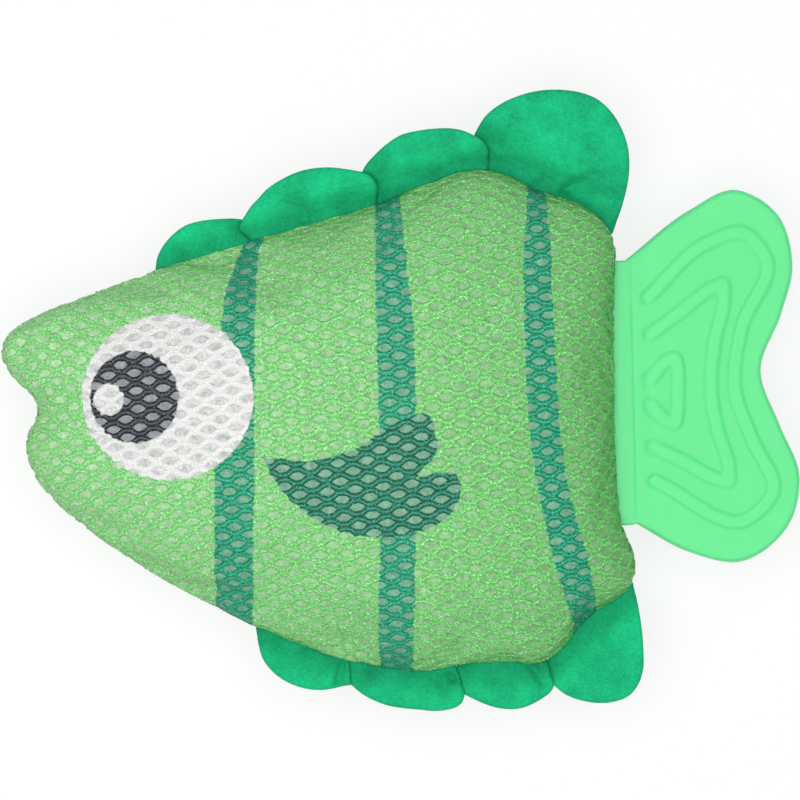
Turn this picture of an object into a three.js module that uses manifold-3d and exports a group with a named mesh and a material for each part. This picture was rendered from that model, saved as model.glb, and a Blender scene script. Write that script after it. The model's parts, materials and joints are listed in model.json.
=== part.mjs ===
// Stuffed fish toy for cats, lying on its side. Two printed air-mesh panels are sewn along the
// fish's outline round a fibre filling. Felt petals stand in the seam as back and belly fins,
// and a moulded rubber tail is sewn in at the rear by its thin strip.
// Millimetres, +Z up. The nose points along -X and the back along +Y. The origin is on the
// surface that the toy lies on, under the middle of its outline.

import * as THREE from "three";
import { mergeVertices } from "three/addons/utils/BufferGeometryUtils.js";
import Module from "manifold-3d";

const wasm = await Module();
wasm.setup();

// Seam outline of the body, counter-clockwise from the tip of the upper lip.
const SEAM_POINTS = [
  [-85.0, 9.7], [-82.6, 5.0], [-77.2, -1.4], [-79.6, -8.6], [-77.6, -16.4], [-65.3, -28.4],
  [-46.8, -40.4], [-19.1, -52.8], [-6.0, -56.2], [4.5, -57.4], [14.0, -56.1], [22.0, -55.8],
  [31.2, -55.4], [41.0, -45.6], [49.4, -39.0], [49.9, -33.2], [47.2, -25.5], [45.7, 0.0],
  [45.7, 24.0], [45.6, 33.5], [41.0, 40.0], [29.7, 44.6], [17.4, 48.9], [4.8, 45.7],
  [-5.0, 41.8], [-23.5, 36.4], [-51.7, 27.8], [-76.0, 18.4], [-83.2, 14.2],
];
// Point that the panels' profiles run out from, and how finely the seam is divided.
const SEAM_CENTRE = [-2.0, -4.4];
const SEAM_COLUMNS = 84;
const SOFT_LENGTH = 25; // stretch of seam on each side that rounds off the middle of the body

// Body.
const CROWN_HEIGHT = 22; // from the seam's plane to the crown of each panel
const CROWN_FULLNESS = 2.2; // exponent of the crown's curve, fuller towards the seam as it grows
const REST_FLAT_DEPTH = 0.5; // flat on the lower panel, where the toy lies
const MESH_WALL = 1.6; // air-mesh fabric
const SEAM_ALLOWANCE = 6; // fabric turned in along the seam
const SEAM_TAPER = 10; // the seam stays open this far past a root strip, then closes as gently
const CLEARANCE = 0.3; // between neighbouring pieces
const FILLING_GAP = 0.6; // between the filling and the panels' insides

// Catnip sachet between the halves of the filling.
const SACHET_LENGTH = 46;
const SACHET_WIDTH = 32;
const SACHET_THICKNESS = 9;
const SACHET_RIM = 0.6; // welded edge
const SACHET_CORNER = 5;

// Rounding of a thin sheet's edge, as a share of its thickness.
const EDGE_SHARE = 0.25;

// Places along the seam, from the tip of the upper lip round the belly, the tail and the back.
const LIP_TO_VENTRAL = 87.2;
const VENTRAL_TO_TAIL = 14.2;
const TAIL_ROOT = 55; // tail's strip
const TAIL_TO_DORSAL = 5.8;

// Felt fins, each row from head to tail. A root is a petal's length along the seam and a height its
// rise above its hinge line. A crown is a list of [share of the root, share of the height].
const FELT = 2;
const PETAL_GAP = 0.6; // between the roots of neighbouring petals
const STRIP_END = 2; // root strip past the outer petals
const VENTRAL_ROOTS = [19.8, 25.2, 19.4, 23];
const VENTRAL_HEIGHTS = [8.2, 8.2, 9, 16.2];
const VENTRAL_CROWNS = [
  [
    [-0.031, 0.171], [-0.094, 0.488], [-0.036, 0.732], [0.203, 0.951], [0.48, 1], [0.693, 0.878],
    [0.876, 0.561], [0.949, 0.268],
  ],
  [
    [-0.016, 0.439], [0.021, 0.805], [0.201, 1], [0.522, 0.963], [0.736, 0.829], [0.867, 0.585],
    [0.954, 0.244],
  ],
  [
    [0.005, 0.156], [0.022, 0.489], [0.151, 0.811], [0.425, 1], [0.683, 0.933], [0.898, 0.733],
    [0.973, 0.4],
  ],
  [
    [0.013, 0.136], [0.144, 0.401], [0.283, 0.654], [0.494, 0.907], [0.746, 1], [0.966, 0.833],
    [1.101, 0.568], [1.142, 0.346], [1.088, 0.148],
  ],
];
const DORSAL_ROOTS = [18.8, 30, 25.2, 30.4];
const DORSAL_HEIGHTS = [6.9, 10.4, 11.1, 20.9];
const DORSAL_CROWNS = [
  [
    [0.033, 0.29], [0.148, 0.667], [0.374, 0.942], [0.599, 1], [0.885, 0.87], [1.038, 0.667],
    [1.038, 0.29],
  ],
  [
    [0.031, 0.192], [0.082, 0.529], [0.252, 0.865], [0.442, 0.981], [0.657, 1], [0.834, 0.875],
    [0.942, 0.644], [0.98, 0.288],
  ],
  [
    [-0.004, 0.216], [-0.029, 0.45], [0.045, 0.73], [0.218, 0.91], [0.42, 1], [0.646, 0.919],
    [0.852, 0.739], [0.967, 0.45], [1, 0.18],
  ],
  [
    [-0.118, 0.048], [-0.201, 0.12], [-0.246, 0.249], [-0.221, 0.45], [-0.107, 0.665],
    [0.076, 0.866], [0.27, 0.981], [0.463, 1], [0.681, 0.876], [0.826, 0.646], [0.913, 0.421],
    [0.968, 0.187],
  ],
];

// Rubber tail. Its outline and ribs are [along the hinge line, out from it].
const TAIL_HINGE_OFFSET = 1.5; // seam to the hinge line in the middle of the strip
const TAIL_STRIP = 2; // thickness of the sewing strip
const TAIL_STEP = 1.5; // hinge line to the thick blade
const TAIL_BLADE = 4; // thickness of the blade
const TAIL_EDGE = 1.2; // rounding of the blade's edge
const RIB_WIDTH = 3.2;
const RIB_HEIGHT = 0.7; // above each face of the blade
const RIB_CHAMFER = 0.5;
const TAIL_OUTLINE = [
  [-29.0, 1.5], [-38.7, 14.6], [-42.7, 24.0], [-37.8, 32.7], [-26.3, 36.1], [-16.2, 33.5],
  [-4.1, 28.8], [7.7, 32.6], [18.5, 36.5], [28.2, 34.4], [36.5, 23.7], [34.1, 12.3], [27.9, 1.5],
];
const OUTER_RIB = [
  [-20.2, 5.0], [-31.4, 18.0], [-33.4, 25.6], [-27.6, 30.4], [-13.2, 24.8], [0.0, 23.1],
  [11.0, 26.7], [21.5, 30.7], [27.4, 25.2], [18.9, 5.6],
];
const MIDDLE_RIB_LEFT = [[-12.3, 5.3], [-24.1, 21.5]];
const MIDDLE_RIB_BOW = [[-24.1, 21.5], [-10.0, 18.9], [0.0, 18.0], [8.0, 19.1], [20.0, 21.6]];
const MIDDLE_RIB_RIGHT = [[20.0, 21.6], [11.6, 5.3]];
const INNER_RIB_LEFT = [[-2.5, 4.9], [-7.9, 10.6]];
const INNER_RIB_BOW = [[-7.9, 10.6], [0.0, 10.9], [7.0, 10.3]];
const INNER_RIB_RIGHT = [[7.0, 10.3], [2.7, 5.0]];

const SEAM_PLANE = CROWN_HEIGHT - REST_FLAT_DEPTH; // height of the seam above the surface

const fabric = new THREE.MeshStandardMaterial({ color: 0x8cce86, roughness: 0.85 });
const fibre = new THREE.MeshStandardMaterial({ color: 0xf1f1ec, roughness: 1 });
const pouch = new THREE.MeshStandardMaterial({ color: 0xe4dcc4, roughness: 0.9 });
const felt = new THREE.MeshStandardMaterial({ color: 0x1ebb7f, roughness: 0.95 });
const rubber = new THREE.MeshStandardMaterial({ color: 0x6aed95, roughness: 0.45 });

const toy = new THREE.Group();

function addMesh(name, geometry, material, parent) {
  const mesh = new THREE.Mesh(geometry, material);
  mesh.name = name;
  parent.add(mesh);
  return mesh;
}

// Solids for joining and cutting.
function toSolid(geometry) {
  const bare = geometry.clone();
  bare.deleteAttribute("normal");
  bare.deleteAttribute("uv");
  const merged = mergeVertices(bare, 1e-4);
  return new wasm.Manifold(new wasm.Mesh({
    numProp: 3,
    vertProperties: new Float32Array(merged.attributes.position.array),
    triVerts: new Uint32Array(merged.index.array),
  }));
}

function toGeometry(solid) {
  const mesh = solid.getMesh();
  const geometry = new THREE.BufferGeometry();
  geometry.setAttribute("position", new THREE.BufferAttribute(mesh.vertProperties, 3));
  geometry.setIndex(new THREE.BufferAttribute(mesh.triVerts, 1));
  geometry.computeVertexNormals();
  return geometry;
}

// A closed skin of rings about a centre. Each ring gives one [x, y, z] for each column, and the
// poles close the first and last ring. Columns run counter-clockwise, rings from top to bottom.
function ringSkin(topPole, rings, bottomPole) {
  const columns = rings[0].length;
  const positions = [topPole, ...rings.flat(), bottomPole].flat();
  const last = rings.length * columns + 1;
  const triangles = [];
  for (let j = 0; j < columns; j += 1) {
    const next = (j + 1) % columns;
    triangles.push(0, 1 + j, 1 + next);
    for (let i = 0; i + 1 < rings.length; i += 1) {
      const upper = 1 + i * columns;
      const lower = upper + columns;
      triangles.push(upper + j, lower + j, lower + next);
      triangles.push(upper + j, lower + next, upper + next);
    }
    const lowest = last - columns;
    triangles.push(lowest + j, last, lowest + next);
  }
  const geometry = new THREE.BufferGeometry();
  geometry.setAttribute("position", new THREE.Float32BufferAttribute(positions, 3));
  geometry.setIndex(triangles);
  geometry.computeVertexNormals();
  return geometry;
}

// Half turn about the length of the fish, which makes the back side from the front side's rings.
function turnedOver(geometry) {
  const turned = geometry.clone();
  const position = turned.attributes.position;
  for (let i = 0; i < position.count; i += 1) {
    position.setZ(i, -position.getZ(i));
  }
  const index = turned.index;
  for (let i = 0; i < index.count; i += 3) {
    const second = index.getX(i + 1);
    index.setX(i + 1, index.getX(i + 2));
    index.setX(i + 2, second);
  }
  turned.computeVertexNormals();
  return turned;
}

// Seam curve, its columns, and where each column lies along the seam.
const seam = new THREE.CatmullRomCurve3(
  SEAM_POINTS.map(([x, y]) => new THREE.Vector3(x, y, 0)), true, "centripetal",
);
seam.arcLengthDivisions = SEAM_COLUMNS * 10;
const seamLength = seam.getLength();
const seamLengths = seam.getLengths();
const centre = new THREE.Vector3(SEAM_CENTRE[0], SEAM_CENTRE[1], 0);

function seamAt(along) {
  return seam.getPointAt(along / seamLength);
}

// Point of the seam moved straight towards the centre.
function insetFrom(point, inset) {
  const inwards = centre.clone().sub(point).normalize();
  return point.clone().addScaledVector(inwards, inset);
}

const seamColumns = Array.from({ length: SEAM_COLUMNS }, (_, i) => ({
  point: seam.getPoint(i / SEAM_COLUMNS),
  along: seamLengths[i * 10],
}));

// Reach of each column from the centre, and its average over a stretch of seam: the body is this
// soft round form in the middle and takes on the seam's lips and corners only towards the seam.
const seamReach = seamColumns.map(({ point }) => point.distanceTo(centre));
const softReach = seamColumns.map(({ along }) => {
  const steps = 24;
  let sum = 0;
  for (let i = 0; i <= steps; i += 1) {
    const place = along + THREE.MathUtils.lerp(-SOFT_LENGTH, SOFT_LENGTH, i / steps);
    sum += seamAt(THREE.MathUtils.euclideanModulo(place, seamLength)).distanceTo(centre);
  }
  return sum / (steps + 1);
});

// Roots side by side along the seam from a starting place.
function placeRoots(roots, start) {
  let end = start;
  return roots.map((root) => {
    const from = end;
    end = from + root;
    return { from, to: end };
  });
}

const ventralRoots = placeRoots(VENTRAL_ROOTS, LIP_TO_VENTRAL);
const tailFrom = ventralRoots.at(-1).to + VENTRAL_TO_TAIL;
const tailTo = tailFrom + TAIL_ROOT;
const dorsalRoots = placeRoots([...DORSAL_ROOTS].reverse(), tailTo + TAIL_TO_DORSAL).reverse();

// Half the gap between the two turned-in edges: shut round the head, and open to the felt's
// thickness from the first belly petal round the tail to the first back petal.
const openFrom = ventralRoots[0].from - STRIP_END;
const openTo = dorsalRoots[0].to + STRIP_END;
const openHalfGap = Math.max(FELT, TAIL_STRIP) / 2 + CLEARANCE;

function seamHalfGap(along) {
  const outside = Math.max(openFrom - along, along - openTo, 0);
  const shut = THREE.MathUtils.smoothstep(outside, SEAM_TAPER, 2 * SEAM_TAPER);
  return THREE.MathUtils.lerp(openHalfGap, CLEARANCE / 2, shut);
}

// One ring of the body: share 0 is the centre and share 1 the seam moved in by inset.
function bodyRing(share, inset, heightAt) {
  return seamColumns.map(({ point, along }, i) => {
    const reach = THREE.MathUtils.lerp(softReach[i], seamReach[i], share ** 3) - inset;
    const spot = insetFrom(point, seamReach[i] - share * reach);
    return [spot.x, spot.y, heightAt(along)];
  });
}

// Rings of a crown that falls from top at the centre to foot(along) at the seam.
function crownRings(steps, inset, top, foot) {
  const rings = [];
  for (let i = 1; i <= steps; i += 1) {
    const share = Math.sin((Math.PI / 2) * (i / steps));
    const fall = Math.sqrt(Math.max(0, 1 - share ** CROWN_FULLNESS));
    rings.push(bodyRing(share, inset, (along) => foot(along) + (top - foot(along)) * fall));
  }
  return rings;
}

// Panels: crown outside down to the seam, turned-in allowance, then the crown's inside back up.
function panelGeometry() {
  const edge = (along) => seamHalfGap(along);
  const fold = (along) => seamHalfGap(along) + MESH_WALL;
  const inner = crownRings(4, MESH_WALL, CROWN_HEIGHT - MESH_WALL, fold).reverse();
  const rings = [
    ...crownRings(7, 0, CROWN_HEIGHT, edge),
    bodyRing(1, SEAM_ALLOWANCE, edge),
    bodyRing(1, SEAM_ALLOWANCE, fold),
    ...inner,
  ];
  const top = [centre.x, centre.y, CROWN_HEIGHT];
  const under = [centre.x, centre.y, CROWN_HEIGHT - MESH_WALL];
  return ringSkin(top, rings, under);
}

// Flat that the lower panel lies on.
function cutRestFlat(geometry) {
  const reach = 2 * seamLength;
  const ground = new THREE.BoxGeometry(reach, reach, CROWN_HEIGHT);
  ground.translate(0, 0, -SEAM_PLANE - CROWN_HEIGHT / 2);
  return toGeometry(toSolid(geometry).subtract(toSolid(ground)));
}

// Sachet: a flat pouch with a welded edge, crowned on both faces. grow widens it all round.
function sachetGeometry(grow) {
  const halfLength = SACHET_LENGTH / 2 + grow;
  const halfWidth = SACHET_WIDTH / 2 + grow;
  const corner = SACHET_CORNER + grow;
  const outline = new THREE.Shape();
  outline.moveTo(halfLength, corner - halfWidth);
  outline.lineTo(halfLength, halfWidth - corner);
  outline.absarc(halfLength - corner, halfWidth - corner, corner, 0, Math.PI / 2);
  outline.lineTo(corner - halfLength, halfWidth);
  outline.absarc(corner - halfLength, halfWidth - corner, corner, Math.PI / 2, Math.PI);
  outline.lineTo(-halfLength, corner - halfWidth);
  outline.absarc(corner - halfLength, corner - halfWidth, corner, Math.PI, 1.5 * Math.PI);
  outline.lineTo(halfLength - corner, -halfWidth);
  outline.absarc(halfLength - corner, corner - halfWidth, corner, 1.5 * Math.PI, 2 * Math.PI);
  const columns = outline.getSpacedPoints(24).slice(0, -1);
  const top = SACHET_THICKNESS / 2 + grow;
  const edge = SACHET_RIM / 2 + grow;
  const ring = (share, z) => columns.map(({ x, y }) => [
    centre.x + x * share, centre.y + y * share, z,
  ]);
  const upper = [0.35, 0.65, 0.88, 1].map((share) => {
    const fall = 1 - share ** CROWN_FULLNESS;
    return ring(share, edge + (top - edge) * fall);
  });
  const lower = upper.map((points) => points.map(([x, y, z]) => [x, y, -z])).reverse();
  return ringSkin([centre.x, centre.y, top], [...upper, ...lower], [centre.x, centre.y, -top]);
}

// Half of the filling: fills one panel, steps in past the allowances and ends at the seam's
// plane, where it is hollowed for half of the sachet.
function fillingGeometry() {
  const step = (along) => seamHalfGap(along) + MESH_WALL + CLEARANCE;
  const top = CROWN_HEIGHT - MESH_WALL - FILLING_GAP;
  const rings = [
    ...crownRings(4, MESH_WALL + FILLING_GAP, top, step),
    bodyRing(1, SEAM_ALLOWANCE + CLEARANCE, step),
    bodyRing(1, SEAM_ALLOWANCE + CLEARANCE, () => CLEARANCE / 2),
  ];
  const skin = ringSkin([centre.x, centre.y, top], rings, [centre.x, centre.y, CLEARANCE / 2]);
  return toGeometry(toSolid(skin).subtract(toSolid(sachetGeometry(CLEARANCE))));
}

// Leaf hinged at the seam: local x runs along its hinge line, y points out of the body and
// z up. Its rounded root edge is centred on the hinge line.
function hingeGroup(start, end, offset) {
  const along = end.clone().sub(start);
  const outwards = new THREE.Vector3(-along.y, along.x, 0).normalize();
  const group = new THREE.Group();
  group.position.copy(start).addScaledVector(outwards, offset);
  group.position.z = SEAM_PLANE;
  group.rotation.z = Math.atan2(along.y, along.x);
  group.updateMatrixWorld();
  return { group, length: along.length(), outwards };
}

// How far the seam bulges past the chord between two places on it.
function seamBulge(from, to, start, outwards) {
  const steps = 24;
  let bulge = 0;
  for (let i = 0; i <= steps; i += 1) {
    const spot = seamAt(THREE.MathUtils.lerp(from, to, i / steps));
    bulge = Math.max(bulge, spot.sub(start).dot(outwards));
  }
  return bulge;
}

// Flat sheet of even thickness with its edges rounded all round.
function sheetGeometry(shape, thickness, rounding, curveSegments) {
  const geometry = new THREE.ExtrudeGeometry(shape, {
    depth: thickness - 2 * rounding,
    bevelEnabled: true,
    bevelThickness: rounding,
    bevelSize: rounding,
    bevelOffset: -rounding,
    bevelSegments: 2,
    curveSegments,
  });
  return geometry.translate(0, 0, rounding - thickness / 2);
}

// Petals. The hinge line clears the seam's bulge past the root's chord.
function petalShape(length, height, crown) {
  const left = PETAL_GAP / 2;
  const right = length - PETAL_GAP / 2;
  const shape = new THREE.Shape();
  shape.moveTo(right, -FELT / 2);
  const rim = crown.map(([along, rise]) => new THREE.Vector2(
    left + along * (right - left), rise * height,
  ));
  shape.splineThru([...rim.reverse(), new THREE.Vector2(left, -FELT / 2)]);
  shape.closePath();
  return shape;
}

function addPetals(row, roots, heights, crowns) {
  return roots.map(({ from, to }, i) => {
    const start = seamAt(to);
    const end = seamAt(from);
    const chord = hingeGroup(start, end, 0);
    const offset = seamBulge(from, to, start, chord.outwards) + CLEARANCE;
    const { group, length } = hingeGroup(start, end, offset);
    const shape = petalShape(length, heights[i], crowns[i]);
    const sheet = sheetGeometry(shape, FELT, EDGE_SHARE * FELT, 3);
    addMesh(`${row}_petal_${i + 1}`, sheet, felt, group);
    toy.add(group);
    return { group, length };
  });
}

// Points along the seam, moved in by inset.
function seamRun(from, to, inset, steps) {
  return Array.from({ length: steps + 1 }, (_, i) => (
    insetFrom(seamAt(THREE.MathUtils.lerp(from, to, i / steps)), inset)
  ));
}

// Strip caught between the turned-in edges. It follows the seam, reaches out to the hinge line of
// each leaf that it carries, and is cut back to clear the leaf's root.
function seamStrip(from, to, hinges, thickness) {
  const rootEdge = thickness / 2 + CLEARANCE;
  const inner = seamRun(from, to, SEAM_ALLOWANCE - CLEARANCE, 24);
  const outer = seamRun(to, from, rootEdge, 24);
  const outline = [...inner, ...outer].map(({ x, y }) => new THREE.Vector2(x, y));
  const run = new THREE.ExtrudeGeometry(new THREE.Shape(outline), {
    depth: thickness,
    bevelEnabled: false,
  });
  const hingeBox = ({ group, length }, innerEdge, outerEdge, height) => {
    const box = new THREE.BoxGeometry(length, outerEdge - innerEdge, height);
    box.translate(length / 2, (innerEdge + outerEdge) / 2, 0);
    return toSolid(box.applyMatrix4(group.matrixWorld));
  };
  let strip = toSolid(run.translate(0, 0, SEAM_PLANE - thickness / 2));
  for (const hinge of hinges) {
    strip = strip.add(hingeBox(hinge, -SEAM_ALLOWANCE / 2, -rootEdge, thickness));
  }
  for (const hinge of hinges) {
    strip = strip.subtract(hingeBox(hinge, -rootEdge, SEAM_ALLOWANCE, 2 * thickness));
  }
  return toGeometry(strip);
}

// Rib: a band of even width along a curve, with round ends.
function ribShape(points) {
  const curve = new THREE.SplineCurve(points.map(([x, y]) => new THREE.Vector2(x, y)));
  const steps = points.length > 2 ? 2 * points.length : 1;
  const half = RIB_WIDTH / 2;
  const shape = new THREE.Shape();
  const side = (turn) => Array.from({ length: steps + 1 }, (_, i) => {
    const spot = curve.getPoint(i / steps);
    const run = curve.getTangent(i / steps);
    return new THREE.Vector2(spot.x + turn * half * run.y, spot.y - turn * half * run.x);
  });
  const cap = (at, turn) => {
    const spot = curve.getPoint(at);
    const run = curve.getTangent(at).multiplyScalar(turn);
    const first = Math.atan2(run.y, run.x) - Math.PI / 2;
    return [1, 2, 3].map((i) => new THREE.Vector2(
      spot.x + half * Math.cos(first + (i * Math.PI) / 4),
      spot.y + half * Math.sin(first + (i * Math.PI) / 4),
    ));
  };
  shape.setFromPoints([...side(1), ...cap(1, 1), ...side(-1).reverse(), ...cap(0, -1)]);
  return shape;
}

function ribSolid(points) {
  const depth = TAIL_BLADE + 2 * RIB_HEIGHT;
  const geometry = new THREE.ExtrudeGeometry(ribShape(points), {
    depth: depth - 2 * RIB_CHAMFER,
    bevelEnabled: true,
    bevelThickness: RIB_CHAMFER,
    bevelSize: RIB_CHAMFER,
    bevelOffset: -RIB_CHAMFER,
    bevelSegments: 1,
  });
  return toSolid(geometry.translate(0, 0, RIB_CHAMFER - depth / 2));
}

// Tail: thick blade, raised ribs on both faces, and the thin strip with its hinge line.
function tailGeometry(length) {
  const [first, ...rest] = TAIL_OUTLINE.map(([x, y]) => new THREE.Vector2(length / 2 + x, y));
  const outline = new THREE.Shape();
  outline.moveTo(first.x, first.y);
  outline.splineThru(rest);
  outline.closePath();
  const blade = toSolid(sheetGeometry(outline, TAIL_BLADE, TAIL_EDGE, 3));
  const strip = new THREE.Shape();
  strip.moveTo(0, -TAIL_STRIP / 2);
  strip.lineTo(length, -TAIL_STRIP / 2);
  strip.lineTo(length, TAIL_STEP + TAIL_BLADE);
  strip.lineTo(0, TAIL_STEP + TAIL_BLADE);
  strip.closePath();
  const ribs = [
    OUTER_RIB, MIDDLE_RIB_LEFT, MIDDLE_RIB_BOW, MIDDLE_RIB_RIGHT,
    INNER_RIB_LEFT, INNER_RIB_BOW, INNER_RIB_RIGHT,
  ].map((points) => ribSolid(points.map(([x, y]) => [length / 2 + x, y])));
  const root = toSolid(sheetGeometry(strip, TAIL_STRIP, EDGE_SHARE * TAIL_STRIP, 1));
  return toGeometry([root, ...ribs].reduce((whole, piece) => whole.add(piece), blade));
}

function addTail() {
  const { group, length } = hingeGroup(seamAt(tailTo), seamAt(tailFrom), TAIL_HINGE_OFFSET);
  addMesh("tail_fin", tailGeometry(length), rubber, group);
  toy.add(group);
  return { group, length };
}

// Assembly.
const body = new THREE.Group();
body.position.z = SEAM_PLANE;
toy.add(body);
const panel = panelGeometry();
const filling = fillingGeometry();
addMesh("front_panel", panel, fabric, body);
addMesh("back_panel", cutRestFlat(turnedOver(panel)), fabric, body);
addMesh("front_filling", filling, fibre, body);
addMesh("back_filling", turnedOver(filling), fibre, body);
addMesh("catnip_sachet", sachetGeometry(0), pouch, body);

const ventral = addPetals("ventral", ventralRoots, VENTRAL_HEIGHTS, VENTRAL_CROWNS);
const dorsal = addPetals("dorsal", dorsalRoots, DORSAL_HEIGHTS, DORSAL_CROWNS);
const tail = addTail();

const stripGap = CLEARANCE / 2;
const tailFlange = seamStrip(tailTo - stripGap, tailFrom + stripGap, [tail], TAIL_STRIP);
addMesh("tail_sewing_flange", tailFlange, rubber, toy);
const ventralStrip = seamStrip(tailFrom - STRIP_END, openFrom, ventral, FELT);
addMesh("ventral_root_strip", ventralStrip, felt, toy);
const dorsalStrip = seamStrip(openTo, tailTo + STRIP_END, dorsal, FELT);
addMesh("dorsal_root_strip", dorsalStrip, felt, toy);

export default toy;
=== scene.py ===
"""Fish cat toy: printed air-mesh pillow body, felt fin petals and a ribbed rubber tail.

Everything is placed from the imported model. Lengths are metres, written as millimetres times MM.
"""
import json
import math

import bpy
import numpy as np
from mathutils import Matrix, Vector


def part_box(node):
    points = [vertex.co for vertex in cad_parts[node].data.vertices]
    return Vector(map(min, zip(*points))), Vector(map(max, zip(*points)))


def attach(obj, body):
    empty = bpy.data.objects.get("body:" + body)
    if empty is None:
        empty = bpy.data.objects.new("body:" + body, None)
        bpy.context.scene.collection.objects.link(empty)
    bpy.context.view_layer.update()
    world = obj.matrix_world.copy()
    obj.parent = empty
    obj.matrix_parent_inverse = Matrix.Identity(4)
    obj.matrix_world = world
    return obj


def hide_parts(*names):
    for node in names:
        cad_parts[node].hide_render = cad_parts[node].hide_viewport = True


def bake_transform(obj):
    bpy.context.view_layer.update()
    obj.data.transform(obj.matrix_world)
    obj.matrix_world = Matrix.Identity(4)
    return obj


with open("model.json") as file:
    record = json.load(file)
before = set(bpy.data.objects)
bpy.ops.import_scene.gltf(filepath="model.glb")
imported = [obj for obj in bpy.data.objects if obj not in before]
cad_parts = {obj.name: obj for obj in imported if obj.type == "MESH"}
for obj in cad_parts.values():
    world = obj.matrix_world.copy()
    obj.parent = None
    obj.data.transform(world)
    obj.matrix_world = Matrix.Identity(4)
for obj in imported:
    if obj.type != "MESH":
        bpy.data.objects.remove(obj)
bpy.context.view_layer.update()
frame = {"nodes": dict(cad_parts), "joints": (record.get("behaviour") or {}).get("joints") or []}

MM = 0.001
RANDOM_SEED = 7

# Photograph: straight above the toy, with a long lens, and the frame's width at the seam's height.
VIEW_WIDTH = 170.4 * MM
LENS = 200.0
SENSOR = 36.0
FAR_CLIP = 10.0  # metres

# Light: together the lamp and the surround show a level surface in about its own colour.
LAMP_PLACE = (-0.06, -0.04, 0.93)  # metres, as its size
LAMP_SIZE = 0.9
LAMP_POWER = 7.9
SURROUND = (0.1, 0.4)  # strength at the horizon and overhead
FLOOR_GLOW = 0.8  # share of plain white in the floor that the camera sees
FLOOR_HALF = 4.0  # metres

# Body. The seam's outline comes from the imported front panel.
SEAM_CENTRE = np.array([-2.0, -4.4]) * MM
NEAR_MIDDLE = 5.0 * MM  # vertices nearer to the middle are left out of the seam's outline
CROWN_FULLNESS = 2.2
RIM_COLUMNS = 192
CROWN_RINGS = 48
SOFT_LENGTH = 25.0 * MM  # stretch of seam on each side that rounds off the middle of the body
FELT_HALF = 1.0 * MM
FELT_ROOM = 0.1 * MM
SEAM_SHUT = 0.12 * MM  # half gap at the seam round the head
SEAM_CLOSING = (0.3 * MM, 3.0 * MM)  # reach past a fin over which the seam shuts
TURN_IN = 3.4 * MM  # fabric that turns into the seam
TURN_RADIUS = 0.7 * MM
TURN_STEPS = 4  # steps round the turn
TURN_CLOSING = 0.2  # share of the gap that the turned-in fabric closes
FABRIC_SAMPLES = 140  # places along the fabric from its middle to its end
LOWEST_FABRIC = 0.05 * MM  # height above the floor that the stuffed form keeps
CLOTH_CELLS = 72  # cells across each side's sheet in the stuffing run
CLOTH_FRAMES = 24
CLOTH_MOST_MOVE = 2.5 * MM

# Air-mesh knit: wavy two-ply strands side by side, which part round lens-shaped holes.
HOLE_PITCH_ALONG = 5.9 * MM
HOLE_PITCH_ACROSS = 3.84 * MM
HOLE_HALF_HEIGHT = 0.8 * MM
STRAND_HALF = 0.67 * MM
STRAND_FLATNESS = 1.5  # 0 gives a plain cosine wave, more gives flatter crests
STRAND_STEPS = 10  # steps along one wave
STRAND_SECTION = np.array([  # [share of the half width, height in millimetres, share of the full print colour]
    [-1.0, -0.24, 0.6], [-0.82, -0.07, 1.0], [-0.42, 0.0, 1.0], [0.0, -0.12, 0.0],
    [0.42, 0.0, 1.0], [0.82, -0.07, 1.0], [1.0, -0.24, 0.6],
])
STRAND_WANDER = 0.05 * MM  # spread of a strand's path
STRAND_WIDTHS = (0.92, 1.04)  # least and most share of its half width
STRAND_UNEVEN = 0.03 * MM  # spread of its height
STRAND_SHIFT = 7.0 * MM  # sets the filaments of each strand apart from the next one's
KNIT_TILT = math.radians(5.5)
BACKING_DEPTH = 0.32 * MM  # from the top of the strands to the fabric's inner face

# Filling and sachet.
WAD_INSET = 3.2 * MM  # from the fabric to the fibre
WAD_LUMPS = 0.5 * MM
WAD_REACH = 0.9  # share of the fabric that the wad follows
WAD_FIRST_RING = 4
WAD_STEPS = (6, 4)  # rings and columns of the fabric to one of the wad
WAD_FLAT = 5.2 * MM  # height of the wad's flat side above the seam
WAD_FOOT = 0.86  # size of that flat side as a share of the wad's last ring
POUCH_GRID = (41, 29)
POUCH_FULLNESS = 3
POUCH_WELD = 0.3 * MM  # half thickness of the welded edges
POUCH_CRIMP = 0.25 * MM
POUCH_CRIMPS = (28.0, 20.0)  # radians of a crimp's wave from the middle of an edge to its end
POUCH_CRIMP_EDGE = 6  # a higher power keeps the crimps closer to the edge
FIBRE_COLOUR = (240, 240, 236)
POUCH_COLOUR = (226, 216, 192)

# Felt petals.
PETAL_ROOT_DEPTH = 3.0 * MM
PETAL_EDGE = 0.9 * MM  # rounding of the cut edge
PETAL_EDGE_LEAST = 0.12 * MM  # half thickness that is left at the edge
PETAL_GROW = 0.08 * MM  # edge of a petal that passes over or under its neighbour's
PETAL_GROW_OUT = (0.5 * MM, 2.5 * MM)  # distance from the hinge line over which that edge comes in
PETAL_STEP = 0.4 * MM  # step along a petal's outline
PETAL_ROWS = 48  # from the waist to the rim
PETAL_ROW_EASE = 1.5  # more than 1 lays the rows closer together towards the rim
PETAL_ROOT_ROWS = 4
PETAL_ROOT_TAPER = 0.3  # how much a root narrows on each side, as a share of its depth
PETAL_RISING = 6.0 * MM  # distance over which lift and swell come in
PAINTED_SHADE_REACH = (-0.5 * MM, 6.0 * MM)  # distances from the hinge line over which the painted shade at the seam fades out
SEAM_HOLD = (-0.5 * MM, 2.5 * MM)  # likewise, from felt that the seam holds to ends that rise or sink
PLEAT_HOLD = (-0.6 * MM, 0.9 * MM)  # likewise, from felt that the seam holds to creases
CREASE_UNDER = 0.3  # share of a crease that shows on the under side
FULL_SHADE_DEPTH = 2.0  # depth in millimetres of a crease or of a sinking end that gets the full painted shade
PAINTED_SHADE_STRENGTH = 0.36  # share of its brightness that the felt loses under full painted shade
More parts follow.
